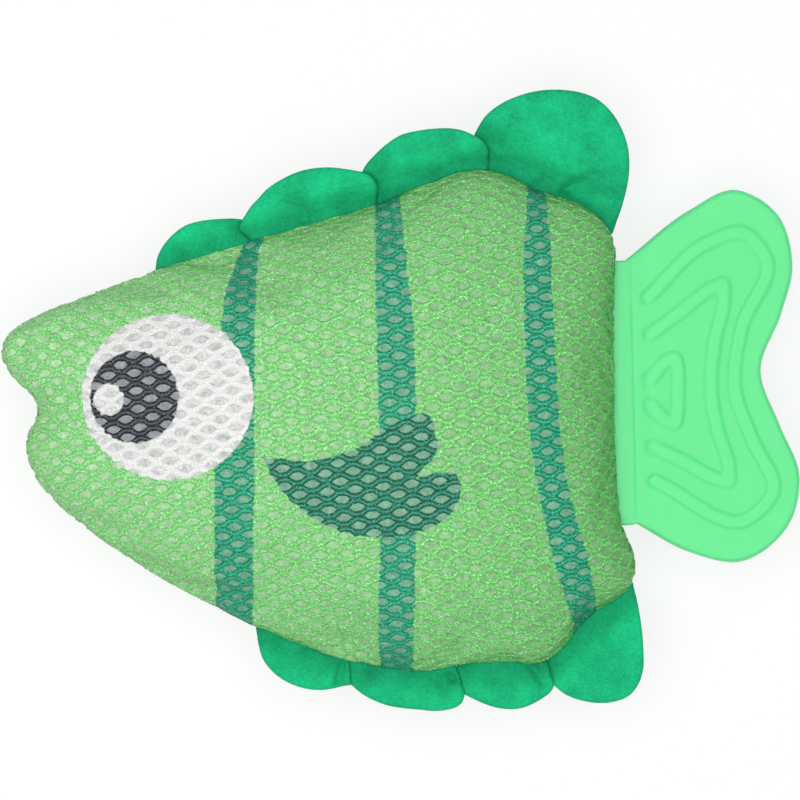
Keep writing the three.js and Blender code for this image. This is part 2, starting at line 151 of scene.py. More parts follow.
FELT_COLOUR = (28, 189, 127)
FELT_BLOOM = (40, 190, 130)
BAND_HALF = (1.2 * MM, 0.8 * MM)  # across and in height
BAND_SQUARENESS = 0.5  # 1 gives an oval section, less gives a squarer one
BAND_SIDES = 12
BAND_BINS = 25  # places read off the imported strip
BAND_STEPS = 80
PETAL_END = 4.5  # millimetres over which a petal's end rises over its neighbour or sinks below it
FIN_SIDES = {  # lines from the seam out between the petals, on X and Y in millimetres
    "dorsal": (
        ((-52.1, 27.5),),
        ((-31.5, 33.1), (-32.5, 34.8), (-33.5, 35.6), (-34.1, 36.4), (-34.0, 37.1), (-33.4, 38.3)),
        ((-5.0, 41.4), (-4.9, 44.1), (-5.1, 45.8), (-6.0, 47.2), (-8.1, 48.4)),
        ((18.7, 48.2), (18.9, 51.3), (18.4, 53.8), (17.4, 55.1), (15.7, 56.1)),
        ((45.3, 35.5),),
    ),
    "ventral": (
        ((-30.7, -48.5),),
        ((-11.1, -54.6), (-10.8, -55.7), (-10.5, -58.2), (-10.2, -60.6)),
        ((12.0, -56.8), (12.8, -59.4), (13.2, -61.1), (13.7, -62.6)),
        ((31.2, -54.8), (32.0, -57.3), (32.5, -59.2), (32.8, -60.6)),
        ((49.6, -38.9),),
    ),
}
PETAL_RIMS = {  # rims of the petals between those lines
    "dorsal": (
        ((-51.8, 29.7), (-50.9, 31.8), (-49.5, 33.8), (-47.7, 35.6), (-45.2, 37.2), (-42.8, 37.9),
         (-40.0, 38.3), (-37.1, 38.5), (-34.7, 38.5)),
        ((-32.9, 39.1), (-31.6, 41.1), (-30.2, 42.6), (-28.3, 44.7), (-25.0, 46.9), (-21.1, 48.6),
         (-17.2, 49.3), (-13.8, 49.3), (-11.0, 48.9)),
        ((-7.4, 49.7), (-5.2, 52.2), (-2.7, 54.4), (0.1, 56.2), (3.5, 57.1), (7.3, 57.6), (11.2, 57.6),
         (13.5, 57.1)),
        ((16.5, 57.7), (18.2, 60.3), (21.3, 62.8), (25.2, 64.6), (29.6, 65.7), (34.1, 65.9), (38.0, 65.4),
         (41.9, 63.9), (44.7, 61.4), (46.9, 58.0), (48.3, 54.1), (48.7, 50.2), (48.3, 45.8),
         (47.5, 42.4), (46.3, 38.5)),
    ),
    "ventral": (
        ((-30.1, -51.8), (-29.1, -55.1), (-27.1, -57.7), (-23.9, -60.0), (-21.7, -60.9), (-19.8, -61.4),
         (-18.3, -61.6), (-16.2, -61.6), (-14.1, -61.3), (-12.0, -60.8)),
        ((-8.5, -62.1), (-5.8, -63.7), (-3.0, -64.8), (0.8, -65.5), (4.0, -65.8), (7.3, -66.1),
         (10.2, -65.8), (12.2, -65.1), (13.1, -64.3), (13.5, -63.4)),
        ((14.9, -63.2), (18.3, -64.7), (20.6, -65.4), (22.7, -65.7), (24.6, -65.7), (26.5, -65.3),
         (28.4, -64.5), (30.3, -63.4), (31.8, -62.3), (32.5, -61.4)),
        ((34.4, -62.0), (36.6, -63.2), (39.3, -64.0), (42.6, -64.4), (45.9, -64.0), (48.6, -62.9),
         (50.5, -60.7), (51.6, -57.5), (51.7, -53.1), (51.3, -48.2), (50.5, -43.3)),
    ),
}
PETAL_FORMS = {  # lift, swell, rise of each end, and creases as [line on X and Y, width, depth]
    "dorsal": (
        (1.8, 0.9, 0.0, -1.0, []),
        (2.0, 1.0, 0.8, 0.9, [(((-22.7, 42.7), (-20.6, 40.4), (-20.1, 38.0)), 1.6, 1.3)]),
        (2.0, 0.9, -1.8, 0.9, []),
        (1.6, 0.9, -1.8, 0.0, [(((33.2, 43.0), (35.0, 44.6), (36.8, 45.7)), 0.8, 0.9),
                               (((33.2, 43.0), (36.4, 45.5), (39.2, 46.8)), 1.2, 0.8),
                               (((33.2, 43.0), (36.4, 45.5), (41.6, 47.7)), 1.7, 0.7),
                               (((37.0, 42.5), (42.0, 44.5), (45.0, 44.8)), 3.2, 1.5)]),
    ),
    "ventral": (
        (0.9, 0.5, 0.0, -0.5, [(((-12.0, -55.0), (-12.6, -57.5), (-13.4, -60.0)), 0.7, 1.1)]),
        (1.0, 0.5, 0.5, 0.6, [(((10.5, -58.1), (11.2, -59.4)), 1.0, 1.5),
                              (((9.2, -60.4), (9.8, -62.6)), 1.6, 0.8)]),
        (0.9, 0.5, -0.6, -0.6, [(((27.8, -56.2), (30.4, -60.2)), 0.9, 1.2)]),
        (1.2, 0.6, 0.7, 0.0, []),
    ),
}

# Rubber tail, as [along the hinge line, out from it] in millimetres about the strip's middle.
TAIL_STRIP_LENGTH = 55.0 * MM
TAIL_STRIP_HALF = 1.0 * MM
TAIL_BLADE_HALF = 2.0 * MM
TAIL_STEP = 1.5 * MM
TAIL_STEP_HALF = 0.3 * MM
TAIL_STEP_SHARE = 0.25  # share of the blade's extra thickness that the step takes
TAIL_RAMP = 5.0 * MM  # reach of the slope that takes the rest
TAIL_TUCK = 4.6 * MM
TAIL_STRIP_EXTRA = 0.7 * MM  # strip beyond its packed ends
TAIL_STRIP_OUT = 0.6 * MM  # end of the strip's straight sides
TAIL_ROUNDING = 0.5 * MM  # of the strip's edge, and half of the blade's
TAIL_POLE = 14.3 * MM  # middle of the tail's rings, on level rubber between two ribs
TAIL_RINGS = 119
TAIL_RING_EASE = 0.92
TAIL_BLADE_STEPS, TAIL_SIDE_STEPS, TAIL_ROOT_STEPS = 280, 14, 38
RIB_TOP_HALF = 0.9 * MM
RIB_FOOT_HALF = 1.8 * MM
RIB_HEIGHT = 0.32 * MM
RIB_STEP = 0.25 * MM  # step along a rib's line
RUBBER_COLOUR = (105, 230, 151)
RUBBER_ROUGHNESS = (0.26, 0.38)
TAIL_OUTLINE = np.array([
    [-28.5, 0.8], [-38.7, 14.6], [-42.7, 24.0], [-37.8, 32.7], [-26.3, 36.1], [-16.2, 33.5],
    [-4.1, 28.8], [7.7, 32.6], [18.5, 36.5], [28.2, 34.4], [36.5, 23.7], [34.1, 12.3],
    [27.9, 1.5],
]) * MM
TAIL_RIBS = [np.array(rib) * MM for rib in (
    [[-20.2, 5.0], [-31.4, 18.0], [-33.4, 25.6], [-27.6, 30.4], [-13.2, 24.8], [0.0, 23.1],
     [11.0, 26.7], [21.5, 30.7], [27.4, 25.2], [18.9, 5.6]],
    [[-12.3, 5.3], [-17.0, 12.0], [-22.0, 19.2], [-22.6, 21.0], [-20.6, 21.2], [-10.0, 18.9], [0.0, 18.0],
     [8.0, 19.1], [17.2, 21.4], [19.2, 21.2], [18.9, 19.4], [15.0, 12.0], [11.6, 5.3]],
    [[-2.5, 4.9], [-6.8, 9.4], [-7.0, 10.6], [-5.6, 10.9], [0.0, 10.9], [5.0, 10.6], [6.6, 10.2], [6.4, 9.2],
     [2.7, 5.0]],
)]

random = np.random.default_rng(RANDOM_SEED)
joints = {joint["child"]: joint for joint in frame["joints"]}
seam_height = joints["tail"]["pos_m"][2]
crown_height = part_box("front_panel")[1][2] - seam_height


# Curves and grids

def smoothstep(low, high, value):
    """0 below low, 1 above high, and an S-shaped cubic between them."""
    t = np.clip((value - low) / (high - low), 0.0, 1.0)
    return t * t * (3.0 - 2.0 * t)


def spline(points, count, closed=False):
    """Cubic Hermite curve through the points, by chord length, sampled at even steps."""
    points = np.asarray(points, float)
    if closed:
        points = np.vstack([points[-2:], points, points[:3]])
    chord = np.concatenate([[0.0], np.cumsum(np.linalg.norm(np.diff(points, axis=0), axis=1))])
    slope = np.gradient(points, chord, axis=0) if len(points) > 2 else np.diff(points, axis=0) / chord[1]
    slope = np.broadcast_to(slope, points.shape)
    first, last = (chord[2], chord[-3]) if closed else (chord[0], chord[-1])
    fine = np.linspace(first, last, 40 * len(points))
    k = np.clip(np.searchsorted(chord, fine, side="right") - 1, 0, len(chord) - 2)
    h = chord[k + 1] - chord[k]
    t = ((fine - chord[k]) / h)[:, None]
    h = h[:, None]
    curve = ((1 + 2 * t) * (1 - t) ** 2 * points[k] + t * (1 - t) ** 2 * h * slope[k]
             + t * t * (3 - 2 * t) * points[k + 1] + t * t * (t - 1) * h * slope[k + 1])
    run = np.concatenate([[0.0], np.cumsum(np.linalg.norm(np.diff(curve, axis=0), axis=1))])
    even = np.linspace(0.0, run[-1], count + 1 if closed else count)
    even = even[:-1] if closed else even
    return np.stack([np.interp(even, run, curve[:, i]) for i in range(curve.shape[1])], axis=1)


def distance_to(points, samples):
    """Distance from each point to the nearest of the samples."""
    nearest = np.full(len(points), np.inf)
    for block in np.array_split(samples, max(1, len(samples) // 64)):
        gap = np.linalg.norm(points[:, None, :] - block[None, :, :], axis=2)
        nearest = np.minimum(nearest, gap.min(axis=1))
    return nearest


def grid_faces(rows, columns, wrap=True, start=0):
    """Quads of a grid of rows by columns, row after row, closed round the columns if wrap."""
    i, j = np.meshgrid(np.arange(rows - 1), np.arange(columns if wrap else columns - 1), indexing="ij")
    a = i * columns + j
    b = i * columns + (j + 1) % columns
    return np.stack([a, a + columns, b + columns, b], axis=-1).reshape(-1, 4) + start


def fan_faces(pole, ring, flip=False):
    """Triangles from a pole to a closed ring of vertices."""
    nearby = np.roll(ring, -1)
    fan = np.stack([np.full(len(ring), pole), ring, nearby], axis=1)
    return fan[:, ::-1] if flip else fan


def closed_sheet(upper, lower):
    """Vertices and faces of an upper and a lower grid of one shape, joined round their edges."""
    rows, columns = upper.shape[:2]
    count = rows * columns
    top = grid_faces(rows, columns, wrap=False)
    index = np.arange(count).reshape(rows, columns)
    edge = np.concatenate([index[0, :-1], index[:-1, -1], index[-1, :0:-1], index[:0:-1, 0]])
    ahead = np.roll(edge, -1)
    rim = np.stack([edge, edge + count, ahead + count, ahead], axis=1)
    points = np.concatenate([upper.reshape(-1, 3), lower.reshape(-1, 3)])
    return points, [top, top[:, ::-1] + count, rim]


def filled_in(points, parts=6):
    """The points of a line with straight steps between them."""
    steps = np.linspace(0.0, 1.0, parts, endpoint=False)[:, None, None]
    return (points[:-1] * (1 - steps) + points[1:] * steps).reshape(-1, points.shape[1])


def rounded(gap, radius):
    """Quarter round over the gap to an edge: 0 at the edge, 1 from the radius on."""
    return np.sqrt(np.clip(1 - (1 - np.minimum(gap / radius, 1.0)) ** 2, 0.0, None))


def add_object(name, data):
    """An object at the origin, linked to the scene."""
    made = bpy.data.objects.new(name, data)
    bpy.context.scene.collection.objects.link(made)
    return made


def add_layer(piece, name, kind, domain, values):
    """An attribute of the piece's mesh, with a value for each of its points or edges."""
    layer = piece.data.attributes.new(name, kind, domain)
    layer.data.foreach_set("vector" if kind == "FLOAT_VECTOR" else "value", values.ravel())


def new_piece(name, points, face_sets, material, slot):
    """A mesh object at the origin from vertices and arrays of faces, shaded smooth."""
    faces = [face for faces in face_sets for face in np.asarray(faces).tolist()]
    mesh = bpy.data.meshes.new(name)
    mesh.from_pydata(np.asarray(points, float).tolist(), [], faces)
    mesh.update()
    mesh.shade_smooth()
    mesh.materials.append(material)
    piece = add_object(name, mesh)
    return piece


def cad_vertices(node):
    """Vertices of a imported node, as an array."""
    mesh = frame["nodes"][node].data
    points = np.empty(3 * len(mesh.vertices))
    mesh.vertices.foreach_get("co", points)
    return points.reshape(-1, 3)


# Materials

def srgb(red, green, blue):
    """Linear colour of an 8-bit display colour."""
    share = np.array([red, green, blue]) / 255.0
    linear = np.where(share <= 0.04045, share / 12.92, ((share + 0.055) / 1.055) ** 2.4)
    return (*linear.tolist(), 1.0)


def add_node(tree, kind, inputs=None, **settings):
    """A node with its settings, and its inputs linked to sockets or set to values."""
    node = tree.nodes.new(kind)
    for key, value in settings.items():
        setattr(node, key, value)
    for key, value in (inputs or {}).items():
        if isinstance(value, bpy.types.NodeSocket):
            tree.links.new(value, node.inputs[key])
        else:
            node.inputs[key].default_value = value
    return node


def maths(tree, operation, first, second=0.0, clamp=False):
    """One Math node's result."""
    node = add_node(tree, "ShaderNodeMath", {0: first, 1: second}, operation=operation)
    node.use_clamp = clamp
    return node.outputs[0]


def mix_colour(tree, factor, first, second):
    """Colour between first and second."""
    inputs = {0: factor, 6: first, 7: second}
    return add_node(tree, "ShaderNodeMix", inputs, data_type="RGBA").outputs[2]


def remap(tree, value, source=(0.0, 1.0), target=(0.0, 1.0)):
    """A value taken from one range to another, held past their ends."""
    return add_node(tree, "ShaderNodeMapRange", {
        "Value": value, "From Min": source[0], "From Max": source[1],
        "To Min": target[0], "To Max": target[1],
    }).outputs[0]


def noise(tree, place, scale, detail, roughness=0.5, distortion=0.0):
    """One Noise Texture's grey."""
    return add_node(tree, "ShaderNodeTexNoise", {
        "Vector": place, "Scale": scale, "Detail": detail, "Roughness": roughness,
        "Distortion": distortion,
    }).outputs[0]


def new_group(name, inputs, outputs):
    """A shader node group with its sockets, and its input and output nodes."""
    tree = bpy.data.node_groups.new(name, "ShaderNodeTree")
    for socket, kind, value in inputs:
        made = tree.interface.new_socket(socket, in_out="INPUT", socket_type=kind)
        if value is not None:
            made.default_value = value
    for socket, kind in outputs:
        tree.interface.new_socket(socket, in_out="OUTPUT", socket_type=kind)
    return tree, tree.nodes.new("NodeGroupInput"), tree.nodes.new("NodeGroupOutput")


def fibre_group():
    """Fine fibres and soft blotches: Height for a bump, Tint about 1 for the colour."""
    tree, given, made = new_group(
        "fibres",
        [("Vector", "NodeSocketVector", None), ("Fibre Scale", "NodeSocketFloat", 2500.0),
         ("Blotch Scale", "NodeSocketFloat", 120.0), ("Tint Amount", "NodeSocketFloat", 0.2)],
        [("Height", "NodeSocketFloat"), ("Tint", "NodeSocketFloat")],
    )
    place = given.outputs["Vector"]
    fine = noise(tree, place, given.outputs["Fibre Scale"], 3.0, roughness=0.65, distortion=1.2)
    broad = noise(tree, place, given.outputs["Blotch Scale"], 2.0)
    both = maths(tree, "ADD", maths(tree, "MULTIPLY", fine, 0.6), maths(tree, "MULTIPLY", broad, 0.4))
    swing = maths(tree, "MULTIPLY", maths(tree, "SUBTRACT", both, 0.5), given.outputs["Tint Amount"])
    tree.links.new(fine, made.inputs["Height"])
    tree.links.new(maths(tree, "ADD", swing, 1.0), made.inputs["Tint"])
    return tree


FIBRES = fibre_group()


def object_place(tree):
    """Object coordinates."""
    return add_node(tree, "ShaderNodeTexCoord").outputs["Object"]


def fibre_look(tree, fibre, blotch, amount):
    """Height and tint of the fibres group, with that many fibres and blotches to the metre."""
    group = add_node(tree, "ShaderNodeGroup", {
        "Vector": object_place(tree), "Fibre Scale": fibre, "Blotch Scale": blotch, "Tint Amount": amount,
    }, node_tree=FIBRES)
    return group.outputs["Height"], group.outputs["Tint"]


def tinted(tree, colour, tint):
    """A colour, given as a socket or as three values, times a tint."""
    return add_node(tree, "ShaderNodeVectorMath", {0: colour, 1: tint}, operation="MULTIPLY").outputs[0]


def surface(name, **sockets):
    """A material with a Principled BSDF whose constant sockets are set: returns both and its tree."""
    material = bpy.data.materials.new(name)
    material.use_nodes = True
    tree = material.node_tree
    shader = tree.nodes["Principled BSDF"]
    for key, value in sockets.items():
        shader.inputs[key.replace("_", " ")].default_value = value
    return material, tree, shader


def bump(tree, shader, height, strength, depth):
    """A bump of that depth in metres on the shader's normal."""
    node = add_node(tree, "ShaderNodeBump", {"Strength": strength, "Distance": depth, "Height": height})
    tree.links.new(node.outputs[0], shader.inputs["Normal"])


def felt_material():
    """Matted green felt: short fibres, soft blotches and a faint green bloom, with painted shade that
    darkens it near the seam, in its creases and where its ends sink under a neighbour."""
    material, tree, shader = surface("felt", Roughness=0.95, Specular_IOR_Level=0.15, Sheen_Weight=0.2,
                                     Sheen_Roughness=0.5, Sheen_Tint=srgb(*FELT_BLOOM))
    height, tint = fibre_look(tree, fibre=1900.0, blotch=220.0, amount=1.9)
    painted_shade = add_node(tree, "ShaderNodeAttribute", attribute_name="painted_shade").outputs["Fac"]
    painted_darkening = maths(tree, "SUBTRACT", 1.0, maths(tree, "MULTIPLY", painted_shade, PAINTED_SHADE_STRENGTH))
    shade = maths(tree, "MULTIPLY", tint, painted_darkening)
    tree.links.new(tinted(tree, srgb(*FELT_COLOUR)[:3], shade), shader.inputs["Base Color"])
    bump(tree, shader, height, strength=0.6, depth=0.35 * MM)
    return material


def rubber_material():
    """Satin mint rubber with a faint mould grain."""
    material, tree, shader = surface("tail_rubber", Specular_IOR_Level=0.2, Subsurface_Weight=0.9,
                                     Subsurface_Scale=5.0 * MM, Subsurface_Radius=(0.6, 1.0, 0.7))
    height, tint = fibre_look(tree, fibre=900.0, blotch=60.0, amount=0.08)
    tree.links.new(tinted(tree, srgb(*RUBBER_COLOUR)[:3], tint), shader.inputs["Base Color"])
    tree.links.new(remap(tree, height, target=RUBBER_ROUGHNESS), shader.inputs["Roughness"])
    bump(tree, shader, height, strength=0.12, depth=0.08 * MM)
    return material


def plain_fibre_material(name, colour, fibre):
    """Undyed fibre or non-woven pouch."""
    material, tree, shader = surface(name, Roughness=1.0, Sheen_Weight=0.2)
    height, tint = fibre_look(tree, fibre=fibre, blotch=90.0, amount=0.3)
    tree.links.new(tinted(tree, srgb(*colour)[:3], tint), shader.inputs["Base Color"])
    bump(tree, shader, height, strength=0.6, depth=0.5 * MM)
    return material


# Print on the mesh: edges as curves in millimetres on Object X and Y.
EYE_WHITE = ((-49.3, 0.6), (18.4, 17.6))
EYE_PUPIL = ((-56.4, 0.6), (9.6, 9.8))
EYE_GLINT = ((-61.9, 0.1), (3.2, 3.4))
STRIPES = (  # [height, left edge, right edge] down each stripe
    ((34.0, -33.6, -29.2), (26.3, -36.1, -30.6), (21.2, -37.4, -30.6), (-34.2, -39.5, -31.2),
     (-50.0, -39.3, -31.8)),
    ((46.0, -5.4, -0.4), (41.0, -5.4, 0.1), (26.3, -5.2, 1.6), (4.2, -4.6, 3.3), (-33.1, -4.2, 3.2),
     (-40.6, -4.6, 3.1), (-58.0, -3.7, 2.9)),
    ((50.0, 27.4, 31.2), (42.9, 27.2, 31.4), (33.8, 26.5, 32.1), (21.6, 26.3, 32.3), (11.0, 26.5, 32.9),
     (-4.2, 27.2, 33.8), (-17.8, 29.1, 35.7), (-28.4, 31.2, 38.4), (-38.9, 34.2, 41.2),
     (-48.0, 37.2, 42.6)),
)
FIN_TOP = ((-29.2, -11.8), (-24.0, -12.7), (-19.7, -12.9), (-13.7, -11.8), (-8.6, -9.9), (-4.4, -6.9),
           (0.0, -4.4), (4.8, -2.9), (7.0, -4.4), (8.2, -8.2), (8.6, -2.9), (12.9, -2.9))
FIN_BOTTOM = ((-29.2, -11.8), (-27.8, -14.8), (-25.5, -18.4), (-21.2, -22.9), (-15.7, -26.5),
              (-11.8, -28.0), (-6.5, -28.9), (3.5, -28.0), (10.1, -24.6), (12.2, -21.6), (12.9, -18.6))
NOTCH_TOP = ((3.4, -16.7), (4.8, -14.4), (7.1, -12.0), (8.2, -8.2), (8.6, -2.0), (12.9, -2.0))
NOTCH_BOTTOM = ((3.4, -16.7), (5.5, -15.8), (8.0, -15.4), (10.8, -15.4), (12.2, -16.8), (12.9, -18.6))
PRINT_SOFTNESS = 0.3  # millimetres over which a print edge fades
PRINT_BLEED = 1.2  # millimetres within which a print edge wanders
BLEED_SCALE = 700.0
PRINT_SCALE = 1.013  # the edges are measured as seen at the seam's height, below most of the fabric
LIT_NOSE_GROUND, SHADED_TAIL_GROUND, STRIPE, FIN, WHITE, PUPIL = range(6)
YARN_COLOURS = ((124, 209, 118), (96, 189, 92), (10, 134, 90), (5, 90, 62), (230, 231, 229), (26, 30, 34))
# Hole colours: the inner face's light grey with painted shade, darker and tinted by the print round the hole,
# as shade and light bounced off the yarn.
HOLE_COLOURS_WITH_SHADE = ((176, 218, 167), (131, 185, 128), (120, 174, 144), (126, 170, 145), (206, 208, 205),
                (150, 154, 158))
TAIL_SHADE_FADE = (-75.0, 40.0)  # places on X between which painted shade darkens the ground towards the tail
WHITE_CALM = 0.8  # share of its streaks that white yarn loses, by its red
FILAMENTS = (1500.0, 3600.0)  # streaks to the metre along and across a strand
FILAMENT_TWIST = 0.45
FILAMENT_STREAK = 0.44  # most that a streak darkens or lightens
# Painted glints: sparse bright specks painted into the yarn's colour as highlights on single filaments.
PAINTED_GLINT_SCALE = 2900.0
PAINTED_GLINT_MOST = 0.8
PAINTED_GLINT_LIGHT = 0.25  # share of a painted glint that lightens the yarn's colour


def curve_over(tree, source, points):
    """Float curve through (input, output) points, smooth between them, held past its ends."""
    points = sorted(points)
    inputs = [point[0] for point in points]
    outputs = [point[1] for point in points]
    low, high = min(outputs), max(outputs) + 1e-6
    share = remap(tree, source, source=(inputs[0], inputs[-1]))
    node = add_node(tree, "ShaderNodeFloatCurve", {"Value": share})
    curve = node.mapping.curves[0]
    spots = [((x - inputs[0]) / (inputs[-1] - inputs[0]), (y - low) / (high - low)) for x, y in points]
    curve.points[0].location = spots[0]
    curve.points[1].location = spots[-1]
    for spot in spots[1:-1]:
        curve.points.new(*spot)
    node.mapping.update()
    return remap(tree, node.outputs[0], target=(low, high))


def above(tree, value, edge):
    """1 where value is past edge, fading over the print's softness."""
    gap = maths(tree, "DIVIDE", maths(tree, "SUBTRACT", value, edge), PRINT_SOFTNESS)
    return maths(tree, "ADD", gap, 0.5, clamp=True)


def between(tree, value, low, high):
    """1 where value lies between the two edges."""
    return maths(tree, "MULTIPLY", above(tree, value, low), above(tree, high, value))


def oval(tree, x, y, centre, half):
    """1 inside an upright oval."""
    across = maths(tree, "DIVIDE", maths(tree, "SUBTRACT", x, centre[0]), half[0])
    along = maths(tree, "DIVIDE", maths(tree, "SUBTRACT", y, centre[1]), half[1])
    reach = maths(tree, "SQRT", maths(tree, "ADD", maths(tree, "MULTIPLY", across, across),
                                      maths(tree, "MULTIPLY", along, along)))
    return above(tree, half[0], maths(tree, "MULTIPLY", reach, half[0]))


def print_group():
    """The fish's print: green ground with painted shade that darkens it towards the tail, three stripes, a
    two-lobed fin and an eye, as the yarn's colour, and as the fabric's inner face behind the holes, painted
    darker and tinted by the print around them as shade and light bounced off the yarn."""
    tree, given, made = new_group(
        "fish_print", [("Vector", "NodeSocketVector", None)],
        [("Yarn", "NodeSocketColor"), ("Shaded Hole", "NodeSocketColor")],
    )
    bleed = noise(tree, given.outputs["Vector"], BLEED_SCALE, 1.0)
    apart = add_node(tree, "ShaderNodeSeparateXYZ", {"Vector": given.outputs["Vector"]})
    shift = maths(tree, "MULTIPLY", maths(tree, "SUBTRACT", bleed, 0.5), PRINT_BLEED)
    x = maths(tree, "ADD", maths(tree, "MULTIPLY", apart.outputs[0], PRINT_SCALE / MM), shift)
    y = maths(tree, "ADD", maths(tree, "MULTIPLY", apart.outputs[1], PRINT_SCALE / MM), shift)
    masks = []
    for stripe in STRIPES:
        left = curve_over(tree, y, [(height, first) for height, first, _ in stripe])
        right = curve_over(tree, y, [(height, last) for height, _, last in stripe])
        masks.append((STRIPE, between(tree, x, left, right)))
    fin = between(tree, y, curve_over(tree, x, FIN_BOTTOM), curve_over(tree, x, FIN_TOP))
    fin = maths(tree, "MULTIPLY", fin, between(tree, x, FIN_TOP[0][0], FIN_TOP[-1][0]))
    notch = between(tree, y, curve_over(tree, x, NOTCH_BOTTOM), curve_over(tree, x, NOTCH_TOP))
    notch = maths(tree, "MULTIPLY", notch, above(tree, x, NOTCH_TOP[0][0]))
    masks.append((FIN, maths(tree, "MULTIPLY", fin, maths(tree, "SUBTRACT", 1.0, notch))))
    for part, shape in ((WHITE, EYE_WHITE), (PUPIL, EYE_PUPIL), (WHITE, EYE_GLINT)):
        masks.append((part, oval(tree, x, y, *shape)))
    # painted shade: the ground darkens from nose to tail, as light falling off away from the nose side
    tail_shade = remap(tree, x, source=TAIL_SHADE_FADE)
    for output, colours in (("Yarn", YARN_COLOURS), ("Shaded Hole", HOLE_COLOURS_WITH_SHADE)):
        colour = mix_colour(tree, tail_shade, srgb(*colours[LIT_NOSE_GROUND]), srgb(*colours[SHADED_TAIL_GROUND]))
        for part, mask in masks:
            colour = mix_colour(tree, mask, colour, srgb(*colours[part]))
        tree.links.new(colour, made.inputs[output])
    return tree


PRINT = print_group()


def print_colour(tree, output):
    """The print's colour for the yarn or for the holes."""
    return add_node(tree, "ShaderNodeGroup", {"Vector": object_place(tree)}, node_tree=PRINT).outputs[output]


def printed_yarn_material():
    """Printed polyester yarn: the print's colour, paler in the grooves, streaked along its filaments,
    with painted glints, bright specks painted in as highlights on single filaments."""
    material, tree, shader = surface("printed_yarn", Roughness=0.5, Specular_IOR_Level=0.3)
    colour = print_colour(tree, "Yarn")
    strand = add_node(tree, "ShaderNodeAttribute", attribute_name="strand").outputs["Vector"]
    apart = add_node(tree, "ShaderNodeSeparateXYZ", {"Vector": strand})
    along, across, full_print_share = apart.outputs
    twist = maths(tree, "ADD", across, maths(tree, "MULTIPLY", along, FILAMENT_TWIST))
    spun = add_node(tree, "ShaderNodeCombineXYZ", {
        "X": maths(tree, "MULTIPLY", along, FILAMENTS[0]), "Y": maths(tree, "MULTIPLY", twist, FILAMENTS[1]),
    })
    filament = noise(tree, spun.outputs[0], 1.0, 2.0, roughness=0.6)
    streak = remap(tree, filament, source=(0.28, 0.72), target=(-FILAMENT_STREAK, FILAMENT_STREAK))
    # painted glint: bright specks painted into the colour as filament highlights
    glint_noise = noise(tree, object_place(tree), PAINTED_GLINT_SCALE, 0.0)
    painted_glint = remap(tree, glint_noise, source=(0.56, 0.72), target=(0.0, PAINTED_GLINT_MOST))
    paler = add_node(tree, "ShaderNodeGamma", {"Color": colour, "Gamma": 0.5})
    parts = add_node(tree, "ShaderNodeSeparateColor", {"Color": colour})
    groove_paling = maths(tree, "MULTIPLY", maths(tree, "SUBTRACT", 1.0, full_print_share),
                   maths(tree, "SUBTRACT", 1.0, parts.outputs["Green"]))
    paling_and_glint = maths(tree, "ADD", groove_paling, painted_glint, clamp=True)
    paled_colour = mix_colour(tree, paling_and_glint, colour, paler.outputs[0])
    streak_and_glint = maths(tree, "ADD", streak, maths(tree, "MULTIPLY", painted_glint, PAINTED_GLINT_LIGHT))
    calm = maths(tree, "SUBTRACT", 1.0, maths(tree, "MULTIPLY", parts.outputs["Red"], WHITE_CALM))
    streak_and_glint_factor = maths(tree, "ADD", maths(tree, "MULTIPLY", streak_and_glint, calm), 1.0)
    tree.links.new(tinted(tree, paled_colour, streak_and_glint_factor), shader.inputs["Base Color"])
    bump(tree, shader, filament, strength=0.6, depth=0.3 * MM)
    return material


def backing_material():
    """Inner face of the air mesh: a fine grey knit, painted darker and tinted by the print around each hole,
    as shade and light bounced off the yarn.
    """
    material, tree, shader = surface("mesh_backing", Roughness=0.9, Specular_IOR_Level=0.2)
    height, tint = fibre_look(tree, fibre=1500.0, blotch=700.0, amount=2.2)
    tree.links.new(tinted(tree, print_colour(tree, "Shaded Hole"), tint), shader.inputs["Base Color"])
    bump(tree, shader, height, strength=0.4, depth=0.2 * MM)
    return material


# Body

def polar(places):
    """Angle and distance of places about the body's middle."""
    out = places - SEAM_CENTRE
    return np.arctan2(out[:, 1], out[:, 0]), np.linalg.norm(out, axis=1)


def outward(places):
    """Unit vectors from the body's middle to places."""
    out = places - SEAM_CENTRE
    return out / np.linalg.norm(out, axis=1, keepdims=True)


def seam_loop():
    """Seam outline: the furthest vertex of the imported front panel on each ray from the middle."""
    turn, reach = polar(cad_vertices("front_panel")[:, :2])
    away = reach > NEAR_MIDDLE
    turns, which = np.unique(np.round(turn[away], 3), return_inverse=True)
    furthest = np.zeros(len(turns))
    np.maximum.at(furthest, which, reach[away])
    loop = np.stack([np.cos(turns), np.sin(turns)], axis=1) * furthest[:, None]
    return spline(loop, RIM_COLUMNS, closed=True) + SEAM_CENTRE


def seam_half_gap(loop):
    """Half gap between the panels' edges: the felt's where a fin or the tail is sewn in, by the angles
    about the body's middle that each of them spans, and shut beyond."""
    turn, reach = polar(loop)
    sewn = [np.array([line[0] for line in sides]) * MM for sides in FIN_SIDES.values()]
    sewn.append(cad_vertices("tail_sewing_flange")[:, :2])
    beyond = np.full(len(loop), np.inf)
    for points in sewn:
        turns, _ = polar(points)
        beyond = np.minimum(beyond, np.maximum(turns.min() - turn, turn - turns.max()) * reach)
    return SEAM_SHUT + (FELT_HALF + FELT_ROOM - SEAM_SHUT) * (1.0 - smoothstep(*SEAM_CLOSING, beyond))


